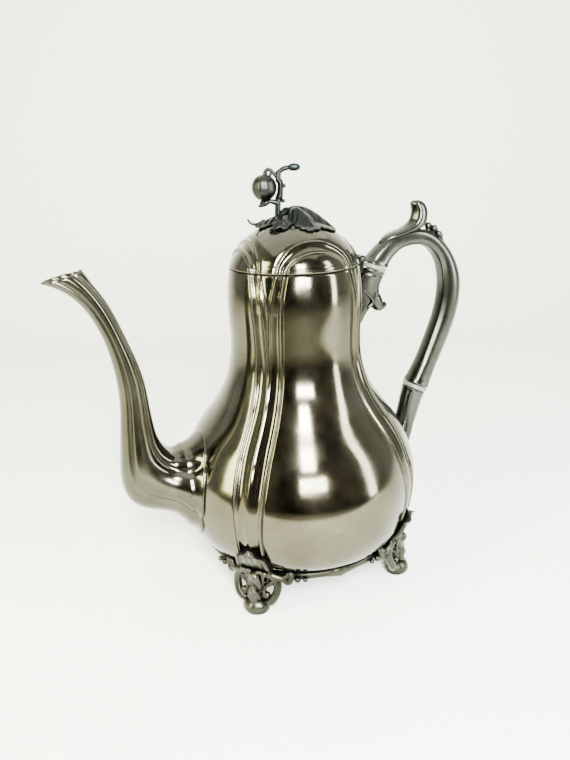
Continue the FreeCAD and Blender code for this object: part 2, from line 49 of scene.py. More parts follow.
AXIS_X = (body_low[0] + body_high[0]) / 2
SEAM = body_high[2] * 1000
WALL = 1.2

# Profiles as (radius, height), the same as the CAD's.
BODY_PROFILE = [
    (56, 22), (62, 24), (68.5, 27.8), (75, 34), (80, 45), (82.3, 57), (82.3, 74), (78.2, 88), (70, 105),
    (55.4, 125), (46.2, 145), (43.3, 165), (43.9, 185), (43.6, 200), (41.9, 213),
]
LID_PROFILE = [
    (41.9, 213.3), (40.6, 218), (38.2, 223), (34.4, 228), (28.6, 233), (20, 238), (10, 241.1), (0.0, 242),
]


# ---------------------------------------------------------------- helpers

def metres(points):
    """Pot millimetres to frame metres."""
    moved = np.array(points, dtype=float) / 1000
    moved[..., 0] += AXIS_X
    return moved


def spline(points, places):
    """A natural cubic spline through points, at places from 0 to 1 of its chord length."""
    points = np.array(points, dtype=float)
    steps = np.linalg.norm(np.diff(points[:, :2], axis=0), axis=1)
    knots = np.concatenate([[0], np.cumsum(steps)])
    knots /= knots[-1]
    count = len(points)
    gaps = np.diff(knots)
    matrix = np.eye(count)
    right = np.zeros_like(points)
    for i in range(1, count - 1):
        matrix[i, i - 1] = gaps[i - 1]
        matrix[i, i] = 2 * (gaps[i - 1] + gaps[i])
        matrix[i, i + 1] = gaps[i]
        right[i] = 6 * ((points[i + 1] - points[i]) / gaps[i] - (points[i] - points[i - 1]) / gaps[i - 1])
    bends = np.linalg.solve(matrix, right)
    places = np.clip(np.atleast_1d(places), 0, 1)
    span = np.clip(np.searchsorted(knots, places, side="right") - 1, 0, count - 2)
    gap = gaps[span][:, None]
    after = (places - knots[span])[:, None]
    before = gap - after
    return (
        bends[span] * before ** 3 / (6 * gap) + bends[span + 1] * after ** 3 / (6 * gap)
        + (points[span] / gap - bends[span] * gap / 6) * before
        + (points[span + 1] / gap - bends[span + 1] * gap / 6) * after
    )


def mirrored(path):
    """A path and its mirror image across the XZ plane."""
    path = np.array(path, dtype=float)
    return [path, path * np.array([1, -1, 1])]


def round_angles(count):
    """Angles once round a circle, in radians, without the last."""
    return 2 * np.pi * np.arange(count) / count


def circle(radius, height, turned, middle=0.0):
    """Points of a level circle at angles; middle is its centre's distance out along X."""
    return np.stack([
        middle + radius * np.cos(turned), radius * np.sin(turned), height * np.ones_like(turned)
    ], axis=-1)


def bump(distance, width):
    """A smooth hump, 1 at distance 0."""
    return np.exp(-(distance / width) ** 2)


def step(value, low, high):
    """0 below low, 1 above high, smooth between."""
    share = np.clip((value - low) / (high - low), 0, 1)
    return share * share * (3 - 2 * share)


def add_mesh(name, points, faces, material, body):
    """A piece from points in pot millimetres, riding on a body."""
    mesh = bpy.data.meshes.new(name)
    mesh.from_pydata(metres(points).tolist(), [], faces)
    mesh.validate()
    mesh.update()
    mesh.polygons.foreach_set("use_smooth", [True] * len(mesh.polygons))
    mesh.materials.append(material)
    obj = bpy.data.objects.new(name, mesh)
    bpy.context.scene.collection.objects.link(obj)
    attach(obj, body)
    return obj


def outward(obj):
    """Turns every face of a closed piece outwards."""
    work = bmesh.new()
    work.from_mesh(obj.data)
    bmesh.ops.remove_doubles(work, verts=work.verts, dist=1e-7)
    bmesh.ops.recalc_face_normals(work, faces=work.faces)
    work.to_mesh(obj.data)
    work.free()
    return obj


class Build:
    """Gathers closed forms into one mesh."""

    def __init__(self):
        self.points = []
        self.faces = []

    def rings(self, rings, loop=False):
        """A skin through rings of the same length: capped at both ends, or joined last to first."""
        rings = np.array(rings, dtype=float)
        rows, columns = rings.shape[:2]
        base = len(self.points)
        self.points.extend(rings.reshape(-1, 3).tolist())
        for row in range(rows if loop else rows - 1):
            next_row = (row + 1) % rows
            for column in range(columns):
                next_column = (column + 1) % columns
                self.faces.append((
                    base + row * columns + column, base + row * columns + next_column,
                    base + next_row * columns + next_column, base + next_row * columns + column,
                ))
        if not loop:
            for row in (0, rows - 1):
                self.fan(base + row * columns, rings[row])

    def fan(self, start, ring):
        """A cap over one ring, round its middle."""
        middle = len(self.points)
        self.points.append(np.mean(ring, axis=0).tolist())
        count = len(ring)
        for column in range(count):
            self.faces.append((start + column, start + (column + 1) % count, middle))

    def slab(self, upper, lower):
        """A closed sheet between two grids of points."""
        upper = np.array(upper, dtype=float)
        lower = np.array(lower, dtype=float)
        rows, columns = upper.shape[:2]
        base = len(self.points)
        self.points.extend(upper.reshape(-1, 3).tolist())
        self.points.extend(lower.reshape(-1, 3).tolist())
        under = rows * columns

        def at(row, column, side):
            return base + side * under + row * columns + column

        for row in range(rows - 1):
            for column in range(columns - 1):
                for side in (0, 1):
                    self.faces.append((
                        at(row, column, side), at(row, column + 1, side),
                        at(row + 1, column + 1, side), at(row + 1, column, side),
                    ))
        for row in range(rows - 1):
            for column in (0, columns - 1):
                self.faces.append((
                    at(row, column, 0), at(row + 1, column, 0), at(row + 1, column, 1), at(row, column, 1)
                ))
        for column in range(columns - 1):
            for row in (0, rows - 1):
                self.faces.append((
                    at(row, column, 0), at(row, column + 1, 0), at(row, column + 1, 1), at(row, column, 1)
                ))

    def tube(self, path, radii, sides, flat=1.0, detail=None):
        """A round or flattened rod along a path, with a rounded cap at each end."""
        path = np.array(path, dtype=float)
        count = len(path)
        radii = np.broadcast_to(np.array(radii, dtype=float), (count,))
        along = np.gradient(path, axis=0)
        along /= np.linalg.norm(along, axis=1)[:, None] + 1e-12
        side = np.cross(along[0], (0.0, 1.0, 0.0))
        if np.linalg.norm(side) < 0.2:
            side = np.cross(along[0], (1.0, 0.0, 0.0))
        rings = []
        angles = round_angles(sides)
        for index in range(count):
            side = side - along[index] * np.dot(side, along[index])
            side /= np.linalg.norm(side)
            over = np.cross(along[index], side)
            radius = radii[index] * np.ones(sides)
            if detail is not None:
                radius = radius * detail(index / (count - 1), angles)
            across = np.outer(np.cos(angles) * radius, side)
            rings.append(path[index] + across + np.outer(np.sin(angles) * radius * flat, over))
        for end, sign in ((0, -1), (count - 1, 1)):
            ring, middle = rings[end if sign < 0 else -1], path[end]
            extra = []
            for share in (0.55, 0.9):
                lift = along[end] * sign * radii[end] * 0.8 * share
                extra.append(middle + (ring - middle) * math.sqrt(1 - share ** 2) + lift)
            if sign < 0:
                rings = extra[::-1] + rings
            else:
                rings = rings + extra
        self.rings(rings)

    def rod(self, path, count, radii, sides=12, places=None, flat=1.0, detail=None):
        """A tube along a spline through path; radii are at places, or evenly spaced."""
        shares = np.linspace(0, 1, count)
        if places is None:
            places = np.linspace(0, 1, len(radii))
        self.tube(spline(path, shares), np.interp(shares, places, radii), sides, flat, detail)

    def ball(self, centre, radii, rows, columns, shape=None):
        """A ball or egg about a centre; shape(polar, angle) scales it."""
        rings = []
        angles = round_angles(columns)
        for row in range(1, rows):
            polar = math.pi * row / rows
            scale = shape(polar, angles) if shape else np.ones(columns)
            ring = np.stack([
                radii[0] * math.sin(polar) * np.cos(angles) * scale,
                radii[1] * math.sin(polar) * np.sin(angles) * scale,
                radii[2] * math.cos(polar) * scale,
            ], axis=1)
            rings.append(np.array(centre) + ring)
        self.rings(rings)

    def turn(self, degrees):
        """Turns everything so far about the body's axis."""
        angle = math.radians(degrees)
        points = np.array(self.points)
        x = points[:, 0] * math.cos(angle) - points[:, 1] * math.sin(angle)
        y = points[:, 0] * math.sin(angle) + points[:, 1] * math.cos(angle)
        self.points = np.stack([x, y, points[:, 2]], axis=1).tolist()

    def piece(self, name, material, body, slot_name, node):
        """Makes the named piece, which stands for one CAD node."""
        obj = outward(add_mesh(name, self.points, self.faces, material, body))
        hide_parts(node)


# ---------------------------------------------------------------- materials

def new_material(name):
    """A new material, with its nodes, links and shader."""
    material = bpy.data.materials.new(name)
    material.use_nodes = True
    nodes = material.node_tree.nodes
    return material, nodes, material.node_tree.links, nodes["Principled BSDF"]


def noise(nodes, links, scale, detail, stretch=(1, 1, 1), roughness=0.55, turn=(0, 0, 0)):
    """Noise in the object's own space, in cells per metre; turn and stretch lay it in streaks."""
    place = nodes.new("ShaderNodeTexCoord")
    mapping = nodes.new("ShaderNodeMapping")
    mapping.inputs["Rotation"].default_value = turn
    mapping.inputs["Scale"].default_value = stretch
    texture = nodes.new("ShaderNodeTexNoise")
    texture.inputs["Scale"].default_value = scale
    texture.inputs["Detail"].default_value = detail
    texture.inputs["Roughness"].default_value = roughness
    links.new(place.outputs["Object"], mapping.inputs["Vector"])
    links.new(mapping.outputs["Vector"], texture.inputs["Vector"])
    return texture.outputs["Fac"]


def ramp(nodes, links, source, stops):
    """A colour ramp from (place, colour) stops."""
    node = nodes.new("ShaderNodeValToRGB")
    elements = node.color_ramp.elements
    while len(elements) < len(stops):
        elements.new(0.5)
    for element, (place, colour) in zip(elements, stops):
        element.position = place
        element.color = (*colour, 1)
    links.new(source, node.inputs["Fac"])
    return node.outputs["Color"]


def mix(nodes, links, kind, amount, first, second):
    """Mixes two colours; amount, first and second are sockets or values."""
    node = nodes.new("ShaderNodeMix")
    node.data_type = "RGBA"
    node.blend_type = kind
    for socket_name, value in (("Factor", amount), ("A", first), ("B", second)):
        socket = node.inputs[socket_name]
        if isinstance(value, bpy.types.NodeSocket):
            links.new(value, socket)
        elif socket.type == "RGBA":
            socket.default_value = (*value, 1)
        else:
            socket.default_value = value
    return node.outputs["Result"]


def hollows(nodes, distance):
    """0 in corners and recesses, 1 on open surface, by occlusion within a distance in metres."""
    node = nodes.new("ShaderNodeAmbientOcclusion")
    node.samples = 8
    node.inputs["Distance"].default_value = distance
    return node.outputs["AO"]


def surface_bump(nodes, links, shader, sources):
    """Chains (height socket, strength, depth) bumps into the shader's normal."""
    normal = None
    for height, strength, depth in sources:
        node = nodes.new("ShaderNodeBump")
        node.inputs["Strength"].default_value = strength
        node.inputs["Distance"].default_value = depth
        links.new(height, node.inputs["Height"])
        if normal is not None:
            links.new(normal, node.inputs["Normal"])
        normal = node.outputs["Normal"]
    links.new(normal, shader.inputs["Normal"])


def share_along_y(nodes, links, vector, low, high, kind):
    """0 to 1 as a vector's Y goes from low to high."""
    split = nodes.new("ShaderNodeSeparateXYZ")
    links.new(vector, split.inputs["Vector"])
    share = nodes.new("ShaderNodeMapRange")
    share.interpolation_type = kind
    share.inputs["From Min"].default_value = low
    share.inputs["From Max"].default_value = high
    links.new(split.outputs["Y"], share.inputs["Value"])
    return share.outputs["Result"]


def pewter(name, bright, dull, recess_dirt_and_shade, rough, recess=0.0018):
    """Old polished metal: cloudy tone, stains, recesses darkened as dirt and painted shade, wiping
    scratches.

    rough is (least, most) roughness, and recess is how far in metres the dirt and painted shade reach.
    """
    material, nodes, links, shader = new_material(name)
    clouds = noise(nodes, links, 26, 5)
    tone = ramp(nodes, links, clouds, [(0.34, dull), (0.66, bright)])
    specks = noise(nodes, links, 260, 3, roughness=0.7)
    speck_mask = ramp(nodes, links, specks, [(0.63, (0, 0, 0)), (0.74, (1, 1, 1))])
    tone = mix(nodes, links, "MIX", speck_mask, tone, tuple(0.72 * value for value in dull))
    # Recesses are darkened towards the third colour by occlusion: dirt and painted shade.
    corner = hollows(nodes, recess)
    occlusion_shade_mask = ramp(nodes, links, corner, [(0.42, (1, 1, 1)), (0.94, (0, 0, 0))])
    tone = mix(nodes, links, "MIX", occlusion_shade_mask, tone, recess_dirt_and_shade)
    links.new(tone, shader.inputs["Base Color"])
    shader.inputs["Metallic"].default_value = 1.0
    patches = noise(nodes, links, 60, 6, roughness=0.65)
    scratched = noise(nodes, links, 300, 2, (1, 22, 1), 0.5, (0.4, 0.9, 0.7))
    rough_tone = ramp(nodes, links, patches, [(0.3, (rough[0],) * 3), (0.72, (rough[1],) * 3)])
    grubby = mix(nodes, links, "MIX", occlusion_shade_mask, rough_tone, (0.55, 0.55, 0.55))
    links.new(grubby, shader.inputs["Roughness"])
    waves = noise(nodes, links, 45, 2)
    surface_bump(nodes, links, shader, [
        (waves, 0.07, 0.0010), (patches, 0.03, 0.0002), (scratched, 0.025, 0.00010),
    ])
    return material


def bone(name):
    """Yellowed bone with a fine grain."""
    material, nodes, links, shader = new_material(name)
    grain = noise(nodes, links, 300, 4, (1, 1, 6))
    tone = ramp(nodes, links, grain, [(0.35, (0.085, 0.092, 0.072)), (0.68, (0.15, 0.16, 0.125))])
    # Hollows are pulled towards a darker tone by occlusion: painted shade.
    corner = hollows(nodes, 0.0012)
    occlusion_shade_mask = ramp(nodes, links, corner, [(0.3, (1, 1, 1)), (0.9, (0, 0, 0))])
    tone = mix(nodes, links, "MIX", occlusion_shade_mask, tone, (0.10, 0.09, 0.07))
    links.new(tone, shader.inputs["Base Color"])
    shader.inputs["Roughness"].default_value = 0.38
    shader.inputs["Subsurface Weight"].default_value = 0.1
    shader.inputs["Subsurface Radius"].default_value = (0.002, 0.0015, 0.001)
    surface_bump(nodes, links, shader, [(grain, 0.15, 0.0002)])
    return material


# The body, spout, handle, cast and finial pewters have base colours darker than pewter's own: a painted
# dark reflection of the dim room; the handle's and the cast pieces' copies are darker still, as painted
# shade. The third colour of each pewter is what its recesses are darkened towards: dirt and painted shade.
body_metal = pewter(
    "pewter_body", (0.100, 0.095, 0.068), (0.060, 0.056, 0.036), (0.007, 0.006, 0.004), (0.07, 0.17)
)
spout_metal = pewter(
    "pewter_spout", (0.078, 0.077, 0.057), (0.043, 0.042, 0.028), (0.005, 0.005, 0.003), (0.12, 0.23)
)
handle_metal = pewter(
    "pewter_handle", (0.062, 0.064, 0.056), (0.034, 0.035, 0.029), (0.004, 0.004, 0.003), (0.16, 0.27)
)
foot_metal = pewter(
    "pewter_cast", (0.052, 0.053, 0.039), (0.017, 0.018, 0.013), (0.002, 0.002, 0.0015), (0.20, 0.33), 0.006
)
finial_metal = pewter(
    "pewter_finial", (0.034, 0.035, 0.029), (0.009, 0.012, 0.014), (0.0015, 0.0015, 0.002), (0.26, 0.38),
    0.006
)
inside_metal = pewter(
    "pewter_inside", (0.14, 0.135, 0.11), (0.08, 0.075, 0.055), (0.02, 0.015, 0.01), (0.35, 0.55)
)
pin_metal = pewter("pin_steel", (0.16, 0.16, 0.15), (0.10, 0.095, 0.09), (0.02, 0.02, 0.015), (0.28, 0.42))
nut_metal = pewter("dull_brass", (0.30, 0.22, 0.11), (0.17, 0.12, 0.06), (0.03, 0.02, 0.01), (0.34, 0.50))
bone_material = bone("insulator_bone")


# ---------------------------------------------------------------- body and lid

# Four plain panels meet at four ribbed corners, CORNER degrees from each panel's middle.
PANELS = 4
CORNER = 45.0

# (height, half angle from a panel's middle to its own bead, half angle from the corner's middle
# to the second bead). Going down, the second beads draw together and fade out by height 128.
PANEL_LINES = [
    (22, 39.0, 0.0), (60, 38.8, 0.0), (83, 37.9, 0.0), (105, 36.6, 0.0), (125, 35.0, 0.0), (145, 33.6, 0.3),
    (165, 33.2, 1.4), (185, 32.6, 2.8), (200, 31.6, 4.8), (213, 28.4, 8.9),
]
# The arches on the lid stand on the body's beads at ARCH_FOOT.
ARCH_FOOT = 213.0
INNER_ARCH_TOP = 225.4
OUTER_ARCH_TOP = 231.2
OUTER_ARCH_POWER = 2.3
LID_EDGE = 213.35


# Where the mesh has columns near a bead, in mm from it.
BEAD_OFFSETS = [
    -3.2, -2.3, -1.6, -1.1, -0.75, -0.45, -0.2, 0.1, 0.4, 0.7, 1.0, 1.3, 1.6, 1.9, 2.3, 2.8, 3.4,
]


def profile_curve(profile, count):
    """(radius, height) rows along a profile, evenly spaced."""
    return spline(profile, np.linspace(0, 1, count))


body_curve = profile_curve(BODY_PROFILE, 900)
lid_curve = profile_curve(LID_PROFILE, 500)


def body_radius(height):
    """The plain body's radius at heights."""
    return np.interp(height, body_curve[:, 1], body_curve[:, 0])


def lid_height(radius):
    """The plain lid's height at radii."""
    return np.interp(radius, lid_curve[::-1, 0], lid_curve[::-1, 1])


def panel_lines(height):
    """Half angles, in degrees, of the panel's bead and of the second bead from the panel's middle."""
    table = np.array(PANEL_LINES)
    inner = np.interp(height, table[:, 0], table[:, 1])
    second = CORNER - np.interp(height, table[:, 0], table[:, 2])
    return inner, second


def relief(inner, second, crown, width_share, fade):
    """Height of the ribbed relief: inner and second are distances in mm out from the two beads."""
    band = step(inner, 0.2, 1.2)
    beads = 1.25 * bump(inner - 1.1, 0.75) - 0.75 * bump(inner + 0.35, 0.5)
    flute = -0.55 * band * bump(inner - 4.0, 2.4)
    second_bead = (0.85 * bump(second, 1.0) - 0.35 * bump(second - 1.9, 0.9)) * fade
    pillow = crown * ((1 - width_share ** 2) - 0.7) * (1 - band) - crown * 0.7 * band
    return pillow - 0.25 * band + beads + flute + second_bead


def body_relief(offset, height):
    """Relief on the body at an offset, in degrees, from a panel's middle."""
    inner_line, second_line = panel_lines(height)
    per_degree = math.radians(1) * body_radius(height)
    inner = (offset - inner_line) * per_degree
    second = (offset - second_line) * per_degree
    corner = (CORNER - offset) * per_degree
    crown = 0.9 + 1.3 * (1 - step(height, 80, 150))
    fade = step(height, 128, 160)
    ridge = 0.75 * bump(corner, 1.3) * step(height, 78, 100) * (1 - fade)
    swell = 0.55 * bump(corner, 4.5) * (1 - step(height, 90, 120))
    share = np.clip(offset / inner_line, 0, 1)
    return relief(inner, second, crown, share, fade) + ridge + swell


def quarter_offsets(height):
    """Offsets in degrees from a panel's middle to the corner's middle, close together at the beads."""
    inner_line = float(panel_lines(height)[0])
    per_degree = math.radians(1) * float(body_radius(height))
    near = inner_line + np.array(BEAD_OFFSETS) / per_degree
    plain = np.linspace(0, near[0], 19)[:-1]
    middle = np.linspace(near[-1], CORNER, 31)[1:]
    return np.concatenate([plain, near, middle])


def corner_offset(angles):
    """How far angles in degrees are from the nearest panel's middle."""
    return np.abs((angles + CORNER) % (2 * CORNER) - CORNER)


def full_ring_offsets(height):
    """Signed offsets round one panel, from corner to corner without the last."""
    quarter = quarter_offsets(height)
    return np.concatenate([-quarter[:0:-1], quarter[:-1]])


def make_body():
    """The ribbed body, from its foot up to the seam and down again inside."""
    lip_drop, lip_inset, inside_rows, neck_foot = 0.25, 0.9, 26, 190
    rows = []
    heights = body_curve[::6, 1]
    heights = heights[heights < SEAM - 0.2]
    heights = np.append(heights, SEAM - lip_drop)
    for height in heights:
        offsets = full_ring_offsets(height)
        extra = body_relief(np.abs(offsets), height)
        radius = body_radius(height) + extra
        quarters = [np.radians(offsets + 2 * CORNER * panel) for panel in range(PANELS)]
        rows.append(np.concatenate([circle(radius, height, quarter) for quarter in quarters]))
    lip = rows[-1].copy()
    scale = 1 - lip_inset / np.linalg.norm(lip[:, :2], axis=1)[:, None]
    lip[:, :2] *= scale
    lip[:, 2] = SEAM
    rows.append(lip)
    turned = np.arctan2(lip[:, 1], lip[:, 0])
    inner = []
    for height in np.linspace(SEAM, body_curve[0, 1] + WALL, inside_rows):
        # Below the neck the inside is drawn further in, so that the flutes don't cut through it.
        plain = float(body_radius(height)) - WALL * (1.0 + 1.2 * (height < neck_foot))
        inner.append(circle(plain, height, turned))
    build = Build()
    build.rings(rows + inner, loop=True)
    build.piece("body", body_metal, "pot", "pewter", "body_shell")


def arch_lines(offset, height):
    """Distances, as shares of the arch's size, out from the two arches on the lid."""
    inner_foot, second_foot = panel_lines(ARCH_FOOT)
    power = OUTER_ARCH_POWER
    inner_rise = np.clip((height - ARCH_FOOT) / (INNER_ARCH_TOP - ARCH_FOOT), 0, None)
    second_rise = np.clip((height - ARCH_FOOT) / (OUTER_ARCH_TOP - ARCH_FOOT), 0, None)
    inner = np.sqrt((offset / inner_foot) ** 2 + inner_rise ** 2) - 1
    second = ((offset / second_foot) ** power + second_rise ** power) ** (1 / power) - 1
    return inner, second


def make_lid():
    """The domed lid: its relief, the tops of the panels, and its inside."""
    columns = 640
    angles = np.linspace(0, 360, columns, endpoint=False)
    rows = spline(LID_PROFILE, np.linspace(0, 1, 122) ** 0.93)
    radius, height = rows[:, 0], rows[:, 1]
    arc = np.concatenate([[0], np.cumsum(np.hypot(np.diff(radius), np.diff(height)))])
    offset = corner_offset(angles)
    offset_grid = np.broadcast_to(offset, (len(rows), columns))
    height_grid = np.broadcast_to(height[:, None], (len(rows), columns))
    inner, second = arch_lines(offset_grid, height_grid)
    distances = []
    across = np.radians(360 / columns) * np.maximum(radius, 4.0)[:, None]
    for share in (inner, second):
        slope_up = np.gradient(share, arc, axis=0)
        slope_side = (np.roll(share, -1, axis=1) - np.roll(share, 1, axis=1)) / (2 * across)
        distances.append(share / np.maximum(np.hypot(slope_up, slope_side), 0.012))
    centre_fade = 1 - step(height_grid, 236, 240)
    share = np.clip(1 + inner, 0, 1)
    extra = relief(distances[0], distances[1], 0.9, share, 1.0) * centre_fade
    spandrel = step(distances[1], 0.8, 2.2) * 0.55 * centre_fade
    edge_bead = 0.55 * bump(height_grid - 214.5, 0.55) + 0.25 * bump(height_grid - 216.2, 0.5)
    edge_round = -0.9 * bump(height_grid - 213.3, 0.45)
    extra = extra + spandrel + edge_bead + edge_round
    normal_r = np.gradient(height, arc)
    normal_z = -np.gradient(radius, arc)
    length = np.hypot(normal_r, normal_z)
    normal_r, normal_z = normal_r / length, normal_z / length
    rings = []
    turned = np.radians(angles)
    for row in range(len(rows) - 1):
        reach = radius[row] + extra[row] * normal_r[row]
        rings.append(circle(reach, height[row] + extra[row] * normal_z[row], turned))
    inside = []
    for row in range(len(rows) - 2, -1, -12):
        reach = max(radius[row] - WALL * 1.5 * normal_r[row], 0.2)
        lift = height[row] - WALL * 1.5 * normal_z[row]
        inside.append(circle(reach, max(lift, LID_EDGE), turned))
    build = Build()
    build.rings(rings + inside, loop=True)
    build.piece("lid", body_metal, "lid", "pewter", "lid_shell")


# ---------------------------------------------------------------- spout

# Stations of the spout, grip and sockets: the two ends of an oval as x, z and x, z, and half its width.
SPOUT_STATIONS = [
    (-84.5, 45.2, -83, 100.3, 25.5), (-95, 57.0, -89, 99, 20.5),
    (-109, 62, -94, 103, 18.0), (-119, 69, -97, 108.5, 16.8), (-123.8, 84, -99, 115, 15.2),
    (-123, 99, -100, 122, 13.2), (-121, 116, -101, 132, 11.2), (-119, 138, -102, 145, 9.6),
    (-120.5, 163, -105.5, 163, 8.6), (-124.5, 181, -111, 180, 8.0), (-130.5, 195, -117, 196.5, 7.7),
    (-138, 205.5, -123.5, 209, 7.4), (-147.5, 212.4, -131, 219, 7.2), (-158, 216.6, -141, 229, 7.0),
]
SPOUT_WALL = 1.4
SPOUT_ROOT_HEIGHT = 72
SPOUT_ROOT_TALL = 35.5
SPOUT_ROOT_WIDE = 30.5
# The open end is cut by a plane through these two points.
SPOUT_LIP = np.array([-154.0, 0, 215.0])
SPOUT_RIDGE_END = np.array([-133.0, 0, 219.5])


def oval_middle(station):
    """The middle of a station's oval."""
    return np.array([(station[0] + station[2]) / 2, 0, (station[1] + station[3]) / 2])


def side_angle(turned):
    """Angles in degrees from an oval's second end, the same on both sides."""
    return np.abs((np.degrees(turned) + 180) % 360 - 180)


def oval(station, turned, inset=0.0):
    """The point of a station's oval at angles from its second end."""
    middle = oval_middle(station)
    reach = np.array([station[2], 0, station[3]]) - middle
    length = np.linalg.norm(reach)
    reach = reach * (length - inset) / length
    side = station[4] - inset
    return middle + np.outer(np.cos(turned), reach) + np.outer(np.sin(turned) * side, (0, 1, 0))


def spout_grooves(turned):
    """1 in the middle of each of the spout's four grooves, 0 away from them."""
    angle = side_angle(turned)
    return bump(angle - 49, 6.5), bump(angle - 113, 6.5)


def spout_section(turned, along):
    """How far the spout's skin stands in or out, as a share, for its grooves and ribs."""
    angle = side_angle(turned)
    upper, lower = spout_grooves(turned)
    shaft = step(along, 0.15, 0.5)
    ribs = 0.045 * bump(angle - 80, 17) + 0.03 * bump(angle - 22, 16) + 0.025 * bump(angle - 150, 22)
    return 1 + ribs - (0.105 + 0.05 * shaft) * upper - (0.09 + 0.04 * shaft) * lower


def spout_base_ring(turned, size, proud):
    """A ring on the body's skin round the spout's root, notched where the grooves reach it."""
    upper, lower = spout_grooves(turned)
    lobes = 1 + 0.018 * np.cos(3 * turned + 0.6) - 0.055 * upper - 0.06 * lower
    height = SPOUT_ROOT_HEIGHT + SPOUT_ROOT_TALL * size * lobes * np.cos(turned)
    radius = body_radius(height)
    side = SPOUT_ROOT_WIDE * size * lobes * np.sin(turned)
    angle = np.pi - side / radius
    return circle(radius + proud * (1 - 0.55 * np.maximum(upper, lower)), height, angle)


def make_spout():
    """The grooved spout: its soldered root, its shaft up to the cut lip, and its inside."""
    columns = 112
    turned = round_angles(columns)
    rise = SPOUT_RIDGE_END - SPOUT_LIP
    normal = np.array([-rise[2], 0, rise[0]])
    normal /= np.linalg.norm(normal)
    fine = np.linspace(0, 1, 600)
    stations = spline(SPOUT_STATIONS, fine)
    # Each column ends where it first passes the cut, which lies in the last third of the spout.
    ends = np.ones(columns)
    tail = 400
    heights = np.stack([(oval(station, turned) - SPOUT_LIP) @ normal for station in stations[tail:]])
    for column in range(columns):
        above = np.where(heights[:, column] > 0)[0]
        if len(above):
            ends[column] = fine[tail + above[0]]

    def ring_at(share, inset):
        points = np.zeros((columns, 3))
        for column in range(columns):
            place = share * ends[column]
            station = spline_row(stations, place)
            scale = spout_section(turned[column:column + 1], place)
            middle = oval_middle(station)
            point = oval(station, turned[column:column + 1], inset)[0]
            points[column] = middle + (point - middle) * scale[0]
        return points

    # The shaft, then the flare that spreads over the body, with its edge sunk into the skin.
    outer = [ring_at(share, 0) for share in np.linspace(0, 1, 120)]
    first = outer[0]
    flare = []
    base = spout_base_ring(turned, 1.0, 1.5)
    for share in np.linspace(1, 0, 12)[:-1]:
        ring = first + (base - first) * share
        pull = share ** 1.9 - share
        ring[:, 1:] += (base - first)[:, 1:] * pull
        floor = body_radius(ring[:, 2])
        reach = np.hypot(ring[:, 0], ring[:, 1])
        short = np.maximum(floor + 1.0 - reach, 0)
        ring[:, 0] -= short
        flare.append(ring)
    edge = spout_base_ring(turned, 1.006, -0.9)
    body_side = spout_base_ring(turned, 0.92, -0.9)
    # A small knob at the lip's upper edge.
    knob = 1.7 * bump(np.abs((turned + np.pi) % (2 * np.pi) - np.pi), 0.42)
    for index in range(-5, 0):
        outer[index] = outer[index] + np.outer(knob * (index + 6) / 5, (0.35, 0, 0.94))
    rim = ring_at(1.0, 0.7)
    inner = [ring_at(share, SPOUT_WALL) for share in np.linspace(1, 0, 60)]
    build = Build()
    build.rings([edge] + flare + outer + [rim + normal * 0.45] + inner + [body_side], loop=True)
    build.piece("spout_skin", spout_metal, "pot", "pewter", "spout")


def spline_row(table, place):
    """A row of a fine table at a share of its length."""
    position = place * (len(table) - 1)
    low = int(min(position, len(table) - 2))
    return table[low] + (table[low + 1] - table[low]) * (position - low)


# ---------------------------------------------------------------- handle

GRIP_STATIONS = [
    (50.6, 211.6, 67.4, 205.9, 8.6), (57.5, 218.5, 70.5, 211, 7.8), (65.5, 224.8, 75.5, 215.8, 7.2),
    (76, 229, 81.5, 218.7, 6.8), (88.5, 231, 89, 219.6, 6.8), (101, 228.6, 96.5, 218.3, 6.9),
    (112, 221, 103.5, 213.6, 7.0), (121.5, 209, 109, 205, 7.1), (127.2, 195, 111.6, 193.5, 7.2),
    (128, 180, 111.4, 181.5, 7.2), (124.8, 163.5, 108.6, 167.5, 7.2), (118.7, 147.5, 103.4, 152.8, 7.3),
    (111.3, 130.5, 96.9, 137, 7.6), (104.6, 113.6, 88, 121, 8.6),
]
LOWER_SOCKET_STATIONS = [
    (86.0, 117.0, 102.8, 109.2, 8.5), (84.6, 111, 100.6, 103.5, 8.0), (82.4, 101, 97.4, 93.6, 7.7),
    (80.2, 91, 93.8, 82.5, 8.2), (76, 84, 90.5, 71, 9.2), (66, 78, 82, 62, 10.0),
]
THUMB_STATIONS = [
    (62.0, 223.4, 64.6, 221.4, 2.0), (66.4, 226.9, 69.2, 223.8, 5.0), (71.6, 229.4, 74.5, 225.4, 6.4),
    (78, 231.4, 82.5, 227.4, 6.8), (83.2, 234.0, 91.0, 229.6, 6.7), (86.2, 238, 97.4, 233.6, 6.5),
    (86.9, 242, 98.7, 239.2, 6.3), (86.4, 245.4, 97.9, 244.2, 5.8), (86.0, 247.6, 95.4, 247.8, 4.6),
    (87.4, 249.0, 91.8, 249.5, 2.4),
]
# Each insulator's centre, and the direction of the handle through it.
UPPER_JOINT = (np.array([57.9, 0, 207.2]), np.array([0.333, 0, 0.943]))
LOWER_JOINT = (np.array([95.3, 0, 115.3]), np.array([0.41, 0, 0.912]))


def station_rings(stations, count, columns, section):
    """Rings of a bar through stations; section(angle in degrees, share) scales each oval."""
    turned = round_angles(columns)
    shares = np.linspace(0, 1, count)
    rings = []
    for station, share in zip(spline(stations, shares), shares):
        middle = oval_middle(station)
        scale = section(side_angle(turned), share)
        rings.append(middle + (oval(station, turned) - middle) * scale[:, None])
    return rings


